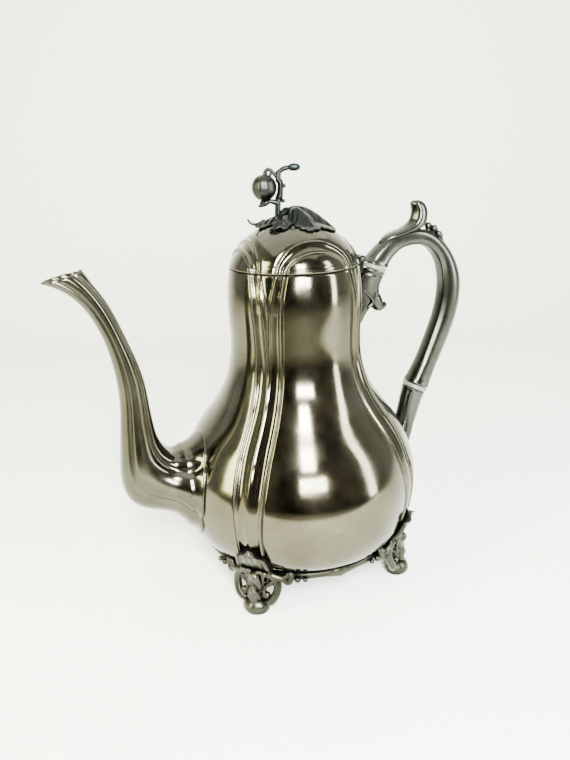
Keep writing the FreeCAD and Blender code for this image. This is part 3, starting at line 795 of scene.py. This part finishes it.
def grip_section(angle, share):
    """The grip is a little square, with two fine ridges down its outer face and a seam on each side."""
    square = 1 + 0.045 * np.cos(4 * np.radians(angle) + np.pi)
    middle = step(share, 0.05, 0.18) * (1 - step(share, 0.86, 0.97))
    ridges = 0.05 * bump(angle - 148, 6) - 0.035 * bump(angle - 134, 6) - 0.02 * bump(angle - 166, 9)
    inner = 0.03 * bump(angle - 34, 8) - 0.02 * bump(angle - 50, 7)
    ends = 0.05 * (bump(share, 0.012) + bump(share - 1, 0.012))
    return square + middle * (ridges + inner) + ends


def make_grip():
    """The looped grip, between the two insulators."""
    build = Build()
    build.rings(station_rings(GRIP_STATIONS, 190, 72, grip_section))
    build.piece("grip", handle_metal, "pot", "pewter", "handle_grip")


def thumb_section(angle, share):
    """A leaf with a raised edge, a hollow along its back and a midrib."""
    risen = step(share, 0.45, 0.7)
    hollow = -0.07 * risen * bump(angle - 150, 20)
    rim = 0.05 * risen * bump(angle - 108, 12)
    crease = -0.05 * bump(angle - 28, 10) * (1 - risen)
    return 1 + hollow + rim + crease


def make_thumb_leaf():
    """The scrolled leaf on top of the grip."""
    build = Build()
    build.rings(station_rings(THUMB_STATIONS, 70, 56, thumb_section))
    build.piece("thumb_scroll", handle_metal, "pot", "cast_ornament", "thumb_leaf")


def make_thumb_berries():
    """Berries on a short stem behind the thumb leaf, each (x, y, z, radius)."""
    build = Build()
    places = [
        (100.6, 0, 231.8, 2.5), (103.6, -2.8, 230.4, 2.2), (103.8, 2.6, 230.4, 2.2),
        (106.2, 0, 228.6, 2.4), (107.6, -3.2, 226.2, 2.1), (108.0, 3.0, 226.0, 2.1),
        (110.4, -0.6, 224.2, 2.2), (112.4, 0.8, 221.6, 1.7),
    ]
    for x, y, z, radius in places:
        build.ball((x, y, z), (radius, radius, radius), 10, 14)
    stem = [(100.5, 0, 228.6), (105.5, 0, 226), (110.5, 0, 221.8), (113.4, 0, 218.8)]
    build.rod(stem, 14, (2.6, 1.2))
    build.piece("thumb_berry_sprig", handle_metal, "pot", "cast_ornament", "thumb_berries")


def make_insulator(name, joint, radius, node):
    """A disc with a rounded rim, and its two spigots."""
    centre, along = joint
    side = np.cross(along, (0, 1, 0))
    turned = round_angles(64)
    outline = [
        (4.2, -7.4), (4.2, -1.5), (radius - 0.5, -1.5), (radius, -1.1), (radius + 0.25, 0), (radius, 1.1),
        (radius - 0.5, 1.5), (4.2, 1.5), (4.2, 7.4),
    ]
    rings = []
    for reach, lift in outline:
        across = np.outer(np.cos(turned) * reach, side)
        rings.append(centre + along * lift + across + np.outer(np.sin(turned) * reach, (0, 1, 0)))
    build = Build()
    build.rings(rings)
    build.piece(name, bone_material, "pot", "insulator", node)


def make_lower_socket():
    """The tapering socket that holds the grip's lower end."""
    def section(angle, share):
        groove = -0.06 * bump(angle - 140, 9) - 0.05 * bump(angle - 45, 10)
        return 1 + groove * (1 - step(share, 0.6, 0.95)) + 0.04 * bump(share, 0.02)

    build = Build()
    build.rings(station_rings(LOWER_SOCKET_STATIONS, 60, 56, section))
    build.piece("lower_handle_socket", handle_metal, "pot", "pewter", "lower_socket")


def make_upper_socket():
    """The bracket: a cup under the insulator, a waist, and a spur that curls out below."""
    build = Build()
    cup = [
        (47.8, 208.4, 66.0, 202.6, 8.7), (47.4, 205.0, 65.2, 200.0, 8.1), (45.6, 199, 63.4, 195.6, 6.6),
        (44.0, 193, 62.6, 190.4, 5.6), (43.2, 187.5, 61.6, 185.6, 4.9), (42.8, 182.5, 57.6, 180.6, 4.5),
        (42.6, 178, 53.6, 176.4, 4.1), (42.4, 172.5, 50.4, 171.0, 3.4), (42.2, 166.5, 47.4, 166.0, 2.2),
    ]

    def section(angle, share):
        rim = 0.05 * bump(share - 0.02, 0.02) - 0.05 * bump(share - 0.075, 0.02)
        fold = -0.07 * bump(angle - 62, 12) * step(share, 0.35, 0.5)
        veins = 0.035 * np.cos(9 * np.radians(angle)) * step(share, 0.5, 0.65)
        return 1 + rim + fold + veins

    build.rings(station_rings(cup, 90, 56, section))
    spur = [
        (57.0, 0, 197.0), (57.4, 0, 191.0), (58.8, 0, 185.6), (61.8, 0, 181.2), (65.2, 0, 179.4),
        (67.4, 0, 180.0),
    ]
    build.rod(spur, 34, (5.4, 4.8, 3.1, 2.3), 24, (0, 0.45, 0.8, 1), flat=0.9)
    for curl in mirrored([(49, 5.0, 192), (53, 5.4, 188), (56, 4.8, 184), (53, 4.0, 180.5)]):
        build.rod(curl, 18, (0.8, 1.3))
    build.piece("upper_handle_socket", handle_metal, "pot", "pewter", "upper_socket")


def wrapped_leaf(build, rows, columns, sunk, row_shape, proud):
    """A leaf wrapped on the body and sunk a little into it.

    row_shape(along) gives a row's height, half width and base radius; proud(along, across) is
    how far the leaf stands off that radius, with across from -1 to 1.
    """
    across = np.linspace(-1, 1, columns)
    upper, lower = [], []
    for along in np.linspace(0, 1, rows):
        height, half, base = row_shape(along)
        angle = half * across / base
        upper.append(circle(base + proud(along, across), height, angle))
        lower.append(circle(base - sunk, height, angle))
    build.slab(upper, lower)


def make_socket_leaf():
    """A leaf that runs down the body under the bracket and ends in a drop."""
    def row_shape(along):
        height = 177 - 13.5 * along
        half = 5.8 * math.sin(math.pi * (0.28 + 0.70 * along)) * (1 + 0.10 * math.cos(20 * along))
        return height, half, float(body_radius(height))

    def proud(along, across):
        return 1.3 + 1.6 * (1 - along) + 0.5 * np.cos(across * 9) - 0.9 * across ** 2

    build = Build()
    wrapped_leaf(build, 26, 17, 0.8, row_shape, proud)
    build.ball((float(body_radius(161.4)) + 0.9, 0, 161.6), (1.7, 1.9, 2.1), 10, 14)
    build.ball((float(body_radius(164)) + 0.9, 0, 164.0), (1.1, 1.3, 1.1), 8, 12)
    build.piece("bracket_leaf", foot_metal, "pot", "cast_ornament", "socket_leaf")


# ---------------------------------------------------------------- finial

# The finial is drawn with its fruit towards -X, then turned this many degrees.
FINIAL_TURN = -20.8


def finial_piece(build, name, node):
    """Turns a finial piece into place and makes it."""
    build.turn(FINIAL_TURN)
    build.piece(name, finial_metal, "lid", "finial_metal", node)


def make_finial_branch():
    """The branch: a knotted stem, a loop, a side twig, the stud, and a button on the lid."""
    build = Build()
    stem = [
        (-1.5, 0, 243.4), (-6.8, 0, 244.4), (-9.2, 0, 247.5), (-8.9, 0.4, 253), (-7.4, 0, 258.5),
        (-7.2, -0.3, 263), (-8.4, 0, 267.5), (-8.2, 0, 270.3),
    ]

    def knots(share, angles):
        rough = 1 + 0.10 * np.cos(3 * angles + 9 * share) + 0.06 * np.sin(5 * angles - 30 * share)
        return rough + 0.22 * bump(share - 0.47, 0.035) + 0.30 * bump(share - 0.80, 0.03)

    build.rod(stem, 60, (3.4, 2.9, 2.2, 1.9, 1.7), 18, (0, 0.15, 0.3, 0.7, 1), detail=knots)
    build.rod([(-8.2, 0, 270), (-5.2, 0, 272.0), (-2.6, 0, 272.7)], 14, (1.5, 1.5), 14)
    loop = [
        (-8.4, 0, 266.6), (-10.6, 0, 269.0), (-12.8, 0, 271.4), (-15.4, 0, 271.6), (-16.8, 0, 269.6),
        (-15.6, 0, 267.8), (-13.6, 0, 268.2), (-12.6, 0, 270.4),
    ]
    build.rod(loop, 44, (1.25, 0.95))
    twig = [
        (-8.6, 0, 251.4), (-11.6, 0, 252.6), (-14.8, -0.6, 252.8), (-18.6, -1.2, 251),
        (-20.8, -1.6, 250.4),
    ]
    build.rod(twig, 24, (1.9, 1.3, 1.9, 0.8), places=(0, 0.5, 0.62, 1))
    build.ball((-5.4, 0, 262.2), (1.7, 1.7, 1.4), 8, 12)
    build.ball((-5.9, 0, 253.2), (1.5, 1.5, 1.2), 8, 12)
    build.tube([(0, 0, 235.4), (0, 0, 238), (0, 0, 241.5)], 1.95, 18)
    base = [(2.0, 239.7), (6.6, 240.9), (6.9, 242.4), (5.6, 243.8), (3.2, 244.3), (0.6, 244.4)]
    build.rings([circle(radius, height, round_angles(36)) for radius, height in base])
    finial_piece(build, "finial_stem", "finial_branch")


def make_finial_fruit():
    """The ribbed fruit, with five sepals under it and a stalk."""
    def lobes(polar, angles):
        side = math.sin(polar)
        return 1 + 0.034 * np.abs(np.cos(5 * angles)) * side - 0.05 * math.cos(polar) ** 4

    build = Build()
    middle = -17.4
    build.ball((middle, 0, 261.3), (7.6, 7.6, 8.2), 36, 64, lobes)
    for angle in round_angles(5) + 0.4:
        section = ((0.8, 253.4), (1.9, 252.8), (3.0, 251.9))
        sepal = [circle(reach, height, angle, middle) for reach, height in section]
        build.tube(sepal, (1.1, 0.9, 0.4), 8)
    build.tube([(-15.9, 0, 268.6), (-15.8, 0, 270.2)], 0.9, 10)
    finial_piece(build, "finial_fruit_skin", "finial_fruit")


def make_finial_bud():
    """The slotted bud at the branch's tip, on its own short stalk."""
    build = Build()
    build.tube([(-4.2, 0, 272.4), (-3.2, 0, 272.7), (-2.0, 0, 272.8)], (1.1, 1.2, 1.3), 14)

    def slotted(polar, angles):
        return 1 - 0.13 * bump(np.sin(angles) + 1, 0.12) * math.sin(polar) ** 2

    build.ball((1.4, 0, 272.9), (4.1, 2.6, 2.35), 20, 36, slotted)
    finial_piece(build, "finial_bud_skin", "finial_bud")


def folded_leaf(build, root, tip, width, arch, tuck, teeth):
    """A toothed leaf with a raised fold from root to tip; its halves fall away on each side.

    width is (left, right) in mm, arch lifts the fold's middle, and tuck is how far each half falls.
    """
    rows, columns, thick = 72, 33, 0.9
    root = np.array(root, dtype=float)
    along = np.array(tip) - root
    flat = np.array([along[0], along[1], 0]) / np.linalg.norm(along[:2])
    side = np.array([-flat[1], flat[0], 0])
    upper, lower = [], []
    for row in range(rows):
        share = row / (rows - 1)
        spread = math.sin(math.pi * min(0.10 + 0.86 * share, 1)) ** 0.62
        tooth = abs(math.sin(math.pi * teeth * share)) ** 0.7
        spine = root + along * share
        spine[2] += arch * math.sin(math.pi * share ** 0.8)
        upper_row, lower_row = [], []
        for column in range(columns):
            across = 2 * column / (columns - 1) - 1
            reach = width[0] if across < 0 else width[1]
            drop = tuck[0] if across < 0 else tuck[1]
            out = abs(across)
            edge = reach * spread * (0.86 + 0.14 * tooth * out)
            place = spine + side * edge * across + flat * 2.4 * out * spread
            vein = 0.50 * math.cos(2 * math.pi * (teeth * share - 0.9 * out)) * out ** 0.7 * spread
            frill = 1.1 * math.sin(2 * math.pi * (teeth * share * 0.5)) * out ** 4
            height = place[2] - drop * spread * out ** 1.5 + vein + frill
            floor = float(lid_height(min(math.hypot(place[0], place[1]), 41))) + 0.3
            height = max(height, floor + thick)
            upper_row.append((place[0], place[1], height))
            lower_row.append((place[0], place[1], height - thick))
        upper.append(upper_row)
        lower.append(lower_row)
    build.slab(upper, lower)


def make_finial_leaves():
    """The large leaf's two lobes, and the small leaf's two lobes with a tendril."""
    large = Build()
    folded_leaf(large, (-4.5, 0.5, 248.0), (26.5, -4.0, 236.0), (13.0, 12.5), 6.0, (12.0, 11.0), 6)
    folded_leaf(large, (-1.0, -3.0, 248.2), (13.0, -19.5, 236.4), (8.5, 10.5), 5.0, (8.5, 8.5), 5)
    finial_piece(large, "finial_leaf_big", "finial_leaf_large")
    small = Build()
    folded_leaf(small, (-3.0, -1.0, 245.6), (-23.0, -3.5, 239.2), (8.5, 8.5), 1.4, (4.0, 4.5), 5)
    folded_leaf(small, (-4.0, -4.5, 244.8), (-8.0, -20.0, 239.8), (6.5, 6.5), 1.2, (3.2, 3.2), 4)
    tendril = [
        (-18, -2.5, 241.6), (-22, -2.8, 239.8), (-25.2, -2.6, 239.7), (-27.2, -2.4, 241),
        (-28.2, -2.4, 242.4),
    ]
    small.rod(tendril, 22, (1.1, 0.75), 10)
    finial_piece(small, "finial_leaf_little", "finial_leaf_small")


# ---------------------------------------------------------------- feet and border

# A foot is drawn on +X at FOOT_RADIUS from the axis, then turned to its angle in degrees.
FOOT_RADIUS = 74.0
BORDER_RADIUS = 68.6
BORDER_HEIGHT = 22.6
FEET = {"foot_front_handle": -45, "foot_back_handle": 45, "foot_back_spout": 135, "foot_front_spout": -135}


def foot_leaf(build):
    """The fan leaf that laps over the end of the ribbed corner."""
    def row_shape(along):
        height = 21.5 + 27.0 * along
        fan = 0.62 + 0.60 * math.sin(math.pi * min(0.15 + along * 0.72, 1))
        half = 9.0 * fan * (1 - 0.95 * step(along, 0.80, 1.06))
        return height, half, max(float(body_radius(height)), 70.4)

    def proud(along, across):
        flutes = 0.75 * np.abs(np.cos(2.5 * math.pi * across)) * (0.35 + 0.65 * along)
        rim = 1.5 * bump(np.abs(across) - 0.90, 0.11)
        curl = 1.6 * bump(along - 0.90, 0.08)
        return (1.2 + 1.5 * (1 - along) + flutes + rim + curl) * (1 - 0.6 * step(along, 0.90, 1.0))

    wrapped_leaf(build, 30, 41, 1.2, row_shape, proud)


def foot_toe(build):
    """The padded toe with a flat sole, and its rosette."""
    turned = round_angles(48)
    outline = [
        (0.5, 0), (7.2, 0), (8.1, 0.4), (8.7, 1.1), (9.1, 2.4), (9.1, 3.6), (8.7, 5.2), (8.1, 6.5),
        (7.3, 7.6), (6.2, 8.6), (4.8, 9.3), (3.2, 9.8), (1.4, 10),
    ]
    rings = []
    for radius, height in outline:
        scallop = radius * (1 + 0.018 * np.cos(6 * turned) * (height > 0.5))
        ring = circle(scallop, height, turned)
        rings.append(ring * (0.92, 1, 1) + (FOOT_RADIUS, 0, 0))
    build.rings(rings)
    for angle in round_angles(6):
        over, side = math.cos(angle), math.sin(angle)
        place = (FOOT_RADIUS + 5.6 + 0.4 * over, 2.3 * side, 5.0 + 2.3 * over)
        build.ball(place, (1.1, 1.15, 1.15), 8, 10)
    build.ball((FOOT_RADIUS + 6.2, 0, 5.0), (1.2, 1.2, 1.2), 8, 10)


def make_foot(name, angle):
    """A cast foot: fan leaf, toe, twisted stem, and pairs of arms, hooks, wings, veins and beads."""
    build = Build()
    foot_leaf(build)
    foot_toe(build)
    stem = [(73.6, 0, 7), (76.4, 0.6, 11), (75.6, -0.8, 16), (74.4, 0.6, 21), (75.0, 0, 27)]

    def strands(share, angles):
        return 1 + 0.20 * np.cos(3 * angles + 14 * share) + 0.10 * bump(share - 0.5, 0.12)

    build.rod(stem, 46, (4.6, 3.6, 3.8, 5.0), 24, (0, 0.3, 0.6, 1), detail=strands)
    arm = [
        (73, 5.4, 5.5), (74.2, 9.6, 8), (73.6, 13.2, 13), (71.8, 14.4, 18.5), (71, 12, 24), (72.6, 7.4, 28),
    ]
    hook = [(71.8, 10.6, 21.5), (72.6, 7.4, 19.2), (74.2, 5.6, 16.2), (75.2, 6.6, 13.2), (75.0, 8.6, 14.0)]
    wing = [
        (71.4, 9.6, 26.5), (70.6, 14.0, 25.2), (69.0, 18.5, 23.4), (67.8, 22.0, 24.2), (67.4, 22.6, 26.6),
        (68.0, 20.4, 27.4), (68.4, 19.4, 26.0),
    ]
    vein = [(76.6, 2.6, 30), (75.2, 5.6, 25.4), (74.6, 5.0, 20.4), (76.0, 2.8, 17)]
    rods = [
        (arm, 40, (3.3, 2.7, 3.2)), (hook, 34, (2.1, 1.6, 2.2)), (wing, 44, (3.1, 2.4, 1.9)),
        (vein, 24, (1.7, 1.4, 1.1)),
    ]
    for path, count, radii in rods:
        for half in mirrored(path):
            build.rod(half, count, radii)
    beads = [
        (75.6, 8.4, 14.2, 1.5), (69.2, 18.6, 25.9, 1.6), (77.6, 3.4, 11.4, 1.3),
        (75.8, 7.4, 29.6, 2.0), (67.0, 26.4, 24.4, 2.1), (64.8, 30.8, 24.2, 1.8),
    ]
    for x, y, z, radius in beads:
        for place in mirrored((x, y, z)):
            build.ball(place, (radius, radius, radius), 8, 12)
    build.turn(angle)
    build.piece(name + "_casting", foot_metal, "pot", "cast_ornament", name)


def make_border():
    """A low skirt round the body's lower edge, with a shell at each panel."""
    columns = 720
    angles = np.linspace(0, 360, columns, endpoint=False)
    offset = corner_offset(angles)
    wave = 0.5 + 0.5 * np.cos(np.radians(offset * 16))
    shell = bump(offset, 5.5)
    hang = -0.4 * wave - 1.0 * shell
    ribs = 0.6 * shell * np.abs(np.cos(np.radians(offset * 24)))
    # The section as (reach, lift, how much it follows the hanging edge).
    outline = [
        (-4.4, 0.9, 0), (-2.4, -0.2, 1), (-0.2, -0.4, 1), (0.6, 0.5, 0.7), (0.7, 1.9, 0.3), (0.4, 3.4, 0),
        (-1.6, 4.6, 0),
    ]
    rings = []
    for reach, lift, follow in outline:
        height = BORDER_HEIGHT + lift + hang * follow + 0.5 * shell * (1 - follow)
        radius = BORDER_RADIUS + reach + 0.3 * wave * follow + ribs
        rings.append(circle(radius, height, np.radians(angles)))
    build = Build()
    build.rings(rings, loop=True)
    build.piece("border_skirt", foot_metal, "pot", "cast_ornament", "base_border")


# ---------------------------------------------------------------- setting

# The floor in metres, towards and away from the camera: it fades to a dim brown between FADE_END
# and FADE_START, and curves up at FLOOR_BACK, with radius FLOOR_CURVE, into the wall.
FADE_END = -0.44
FADE_START = -0.27
FLOOR_FRONT = -1.6
FLOOR_BACK = 0.55
FLOOR_CURVE = 0.35
FLOOR_HALF_WIDTH = 2.4
WALL_TOP = 2.2


def stage_material():
    """A pale matt cloth that gives way to a dim floor in front, as at the edge of a table."""
    material, nodes, links, shader = new_material("pale_floor")
    grain = noise(nodes, links, 40, 5)
    pale = ramp(nodes, links, grain, [(0.2, (0.84, 0.84, 0.79)), (0.8, (0.87, 0.87, 0.82))])
    place = nodes.new("ShaderNodeTexCoord").outputs["Object"]
    near = share_along_y(nodes, links, place, FADE_END, FADE_START, "SMOOTHSTEP")
    tone = mix(nodes, links, "MIX", near, (0.075, 0.068, 0.052), pale)
    links.new(tone, shader.inputs["Base Color"])
    shader.inputs["Roughness"].default_value = 0.8
    return material


def make_stage():
    """A pale floor that curves up into a pale wall behind the pot."""
    mesh = bpy.data.meshes.new("floor")
    points, faces = [], []
    profile = [(FLOOR_FRONT, 0.0), (FLOOR_BACK, 0.0)]
    for turn in range(1, 13):
        angle = math.radians(7.5 * turn)
        profile.append((FLOOR_BACK + FLOOR_CURVE * math.sin(angle), FLOOR_CURVE * (1 - math.cos(angle))))
    profile.append((FLOOR_BACK + FLOOR_CURVE, WALL_TOP))
    for away, height in profile:
        for side in (-FLOOR_HALF_WIDTH, FLOOR_HALF_WIDTH):
            points.append((side, away, height))
    for row in range(len(profile) - 1):
        faces.append((2 * row, 2 * row + 1, 2 * row + 3, 2 * row + 2))
    mesh.from_pydata(points, [], faces)
    mesh.polygons.foreach_set("use_smooth", [True] * len(mesh.polygons))
    mesh.materials.append(stage_material())
    floor = bpy.data.objects.new("floor", mesh)
    floor.rotation_euler = (0, 0, math.radians(-CAMERA_AZIMUTH))
    bpy.context.scene.collection.objects.link(floor)


# Camera: seen from CAMERA_AZIMUTH degrees round towards the spout from the front, looking
# CAMERA_DOWN degrees down, and turned CAMERA_ROLL degrees. Its places and its lens are in mm.
CAMERA_AZIMUTH = 20.76
CAMERA_DOWN = 19.41
CAMERA_AWAY = 402.7
CAMERA_HEIGHT = 276.3
CAMERA_ASIDE = -7.82
CAMERA_ROLL = -1.67
CAMERA_SENSOR = 36
CAMERA_LENS = 29.3684


def view_place(right, away, height):
    """A place in the frame, from millimetres to the camera's right, away from it, and up."""
    turn = math.radians(-CAMERA_AZIMUTH)
    x = right * math.cos(turn) - away * math.sin(turn)
    y = right * math.sin(turn) + away * math.cos(turn)
    return Vector((x / 1000 + AXIS_X, y / 1000, height / 1000))


def make_camera():
    """The camera, at the photo's angle."""
    data = bpy.data.cameras.new("camera")
    data.sensor_width = CAMERA_SENSOR
    data.lens = CAMERA_LENS
    data.clip_start = 0.01
    camera = bpy.data.objects.new("camera", data)
    bpy.context.scene.collection.objects.link(camera)
    camera.location = view_place(CAMERA_ASIDE, -CAMERA_AWAY, CAMERA_HEIGHT)
    down = math.radians(CAMERA_DOWN)
    forward = view_place(0, math.cos(down), -math.sin(down)) - view_place(0, 0, 0)
    look = forward.to_track_quat("-Z", "Y")
    camera.rotation_mode = "QUATERNION"
    camera.rotation_quaternion = look @ Quaternion((0, 0, 1), math.radians(CAMERA_ROLL))
    bpy.context.scene.camera = camera


def make_light(name, place, size, power, colour):
    """A soft rectangular light that faces the pot; size is in metres and power in watts."""
    data = bpy.data.lights.new(name, "AREA")
    data.shape = "RECTANGLE"
    data.size, data.size_y = size
    data.energy = power
    data.color = colour
    light = bpy.data.objects.new(name, data)
    bpy.context.scene.collection.objects.link(light)
    light.location = place
    light.rotation_euler = (view_place(0, 0, 130) - place).to_track_quat("-Z", "Y").to_euler()


def make_lights():
    """Soft windows in front and at the sides, a soft light above, and a dim room."""
    for name, place, size, power, colour in (
        ("window_front", (90, -900, 820), (0.26, 0.40), 66, (1.0, 1.0, 0.97)),
        ("window_low", (120, -760, 330), (0.36, 0.12), 22, (1.0, 1.0, 0.98)),
        ("window_left", (-900, -520, 520), (0.28, 0.80), 38, (1.0, 1.0, 0.62)),
        ("window_right", (820, -300, 420), (0.14, 0.80), 17, (0.92, 1.0, 0.94)),
        ("top_soft", (0, 150, 1200), (1.3, 1.3), 13, (0.97, 1.0, 0.97)),
    ):
        make_light(name, view_place(*place), size, power, colour)
    world = bpy.data.worlds.new("room")
    bpy.context.scene.world = world
    world.use_nodes = True
    nodes, links = world.node_tree.nodes, world.node_tree.links
    background = nodes["Background"]
    place = nodes.new("ShaderNodeTexCoord")
    mapping = nodes.new("ShaderNodeMapping")
    mapping.inputs["Rotation"].default_value = (0, 0, math.radians(CAMERA_AZIMUTH))
    links.new(place.outputs["Generated"], mapping.inputs["Vector"])
    texture = nodes.new("ShaderNodeTexNoise")
    texture.inputs["Scale"].default_value = 2.2
    texture.inputs["Detail"].default_value = 1
    links.new(mapping.outputs["Vector"], texture.inputs["Vector"])
    # Behind the camera the room is brown and dim, and beyond the pot it is a pale mint wall.
    away = share_along_y(nodes, links, mapping.outputs["Vector"], -0.55, 0.45, "LINEAR")
    dim = ramp(nodes, links, texture.outputs["Fac"], [
        (0.38, (0.035, 0.030, 0.022)), (0.66, (0.36, 0.33, 0.25)),
    ])
    room = mix(nodes, links, "MIX", away, dim, (0.90, 0.98, 0.92))
    links.new(room, background.inputs["Color"])
    background.inputs["Strength"].default_value = 1.5


# ---------------------------------------------------------------- assembly

def dress_cad_nodes():
    """Gives the CAD pieces that stay their own materials."""
    finishes = {
        "base_plate": spout_metal, "mouth_ring": inside_metal, "lid_flange": inside_metal,
        "upper_pins": pin_metal, "lower_pins": pin_metal, "hinge_pin": pin_metal,
        "hinge_body_knuckles": handle_metal, "hinge_lid_knuckle": handle_metal,
        "finial_washer": nut_metal, "finial_nut": nut_metal,
    }
    for name, material in finishes.items():
        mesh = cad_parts[name].data
        mesh.materials.clear()
        mesh.materials.append(material)


make_stage()
make_camera()
make_lights()
make_body()
make_lid()
make_spout()
make_grip()
make_thumb_leaf()
make_thumb_berries()
make_insulator("upper_bone_ring", UPPER_JOINT, 9.1, "upper_insulator")
make_insulator("lower_bone_ring", LOWER_JOINT, 9.2, "lower_insulator")
make_lower_socket()
make_upper_socket()
make_socket_leaf()
make_finial_branch()
make_finial_fruit()
make_finial_bud()
make_finial_leaves()
for foot_name, foot_angle in FEET.items():
    make_foot(foot_name, foot_angle)
make_border()
dress_cad_nodes()
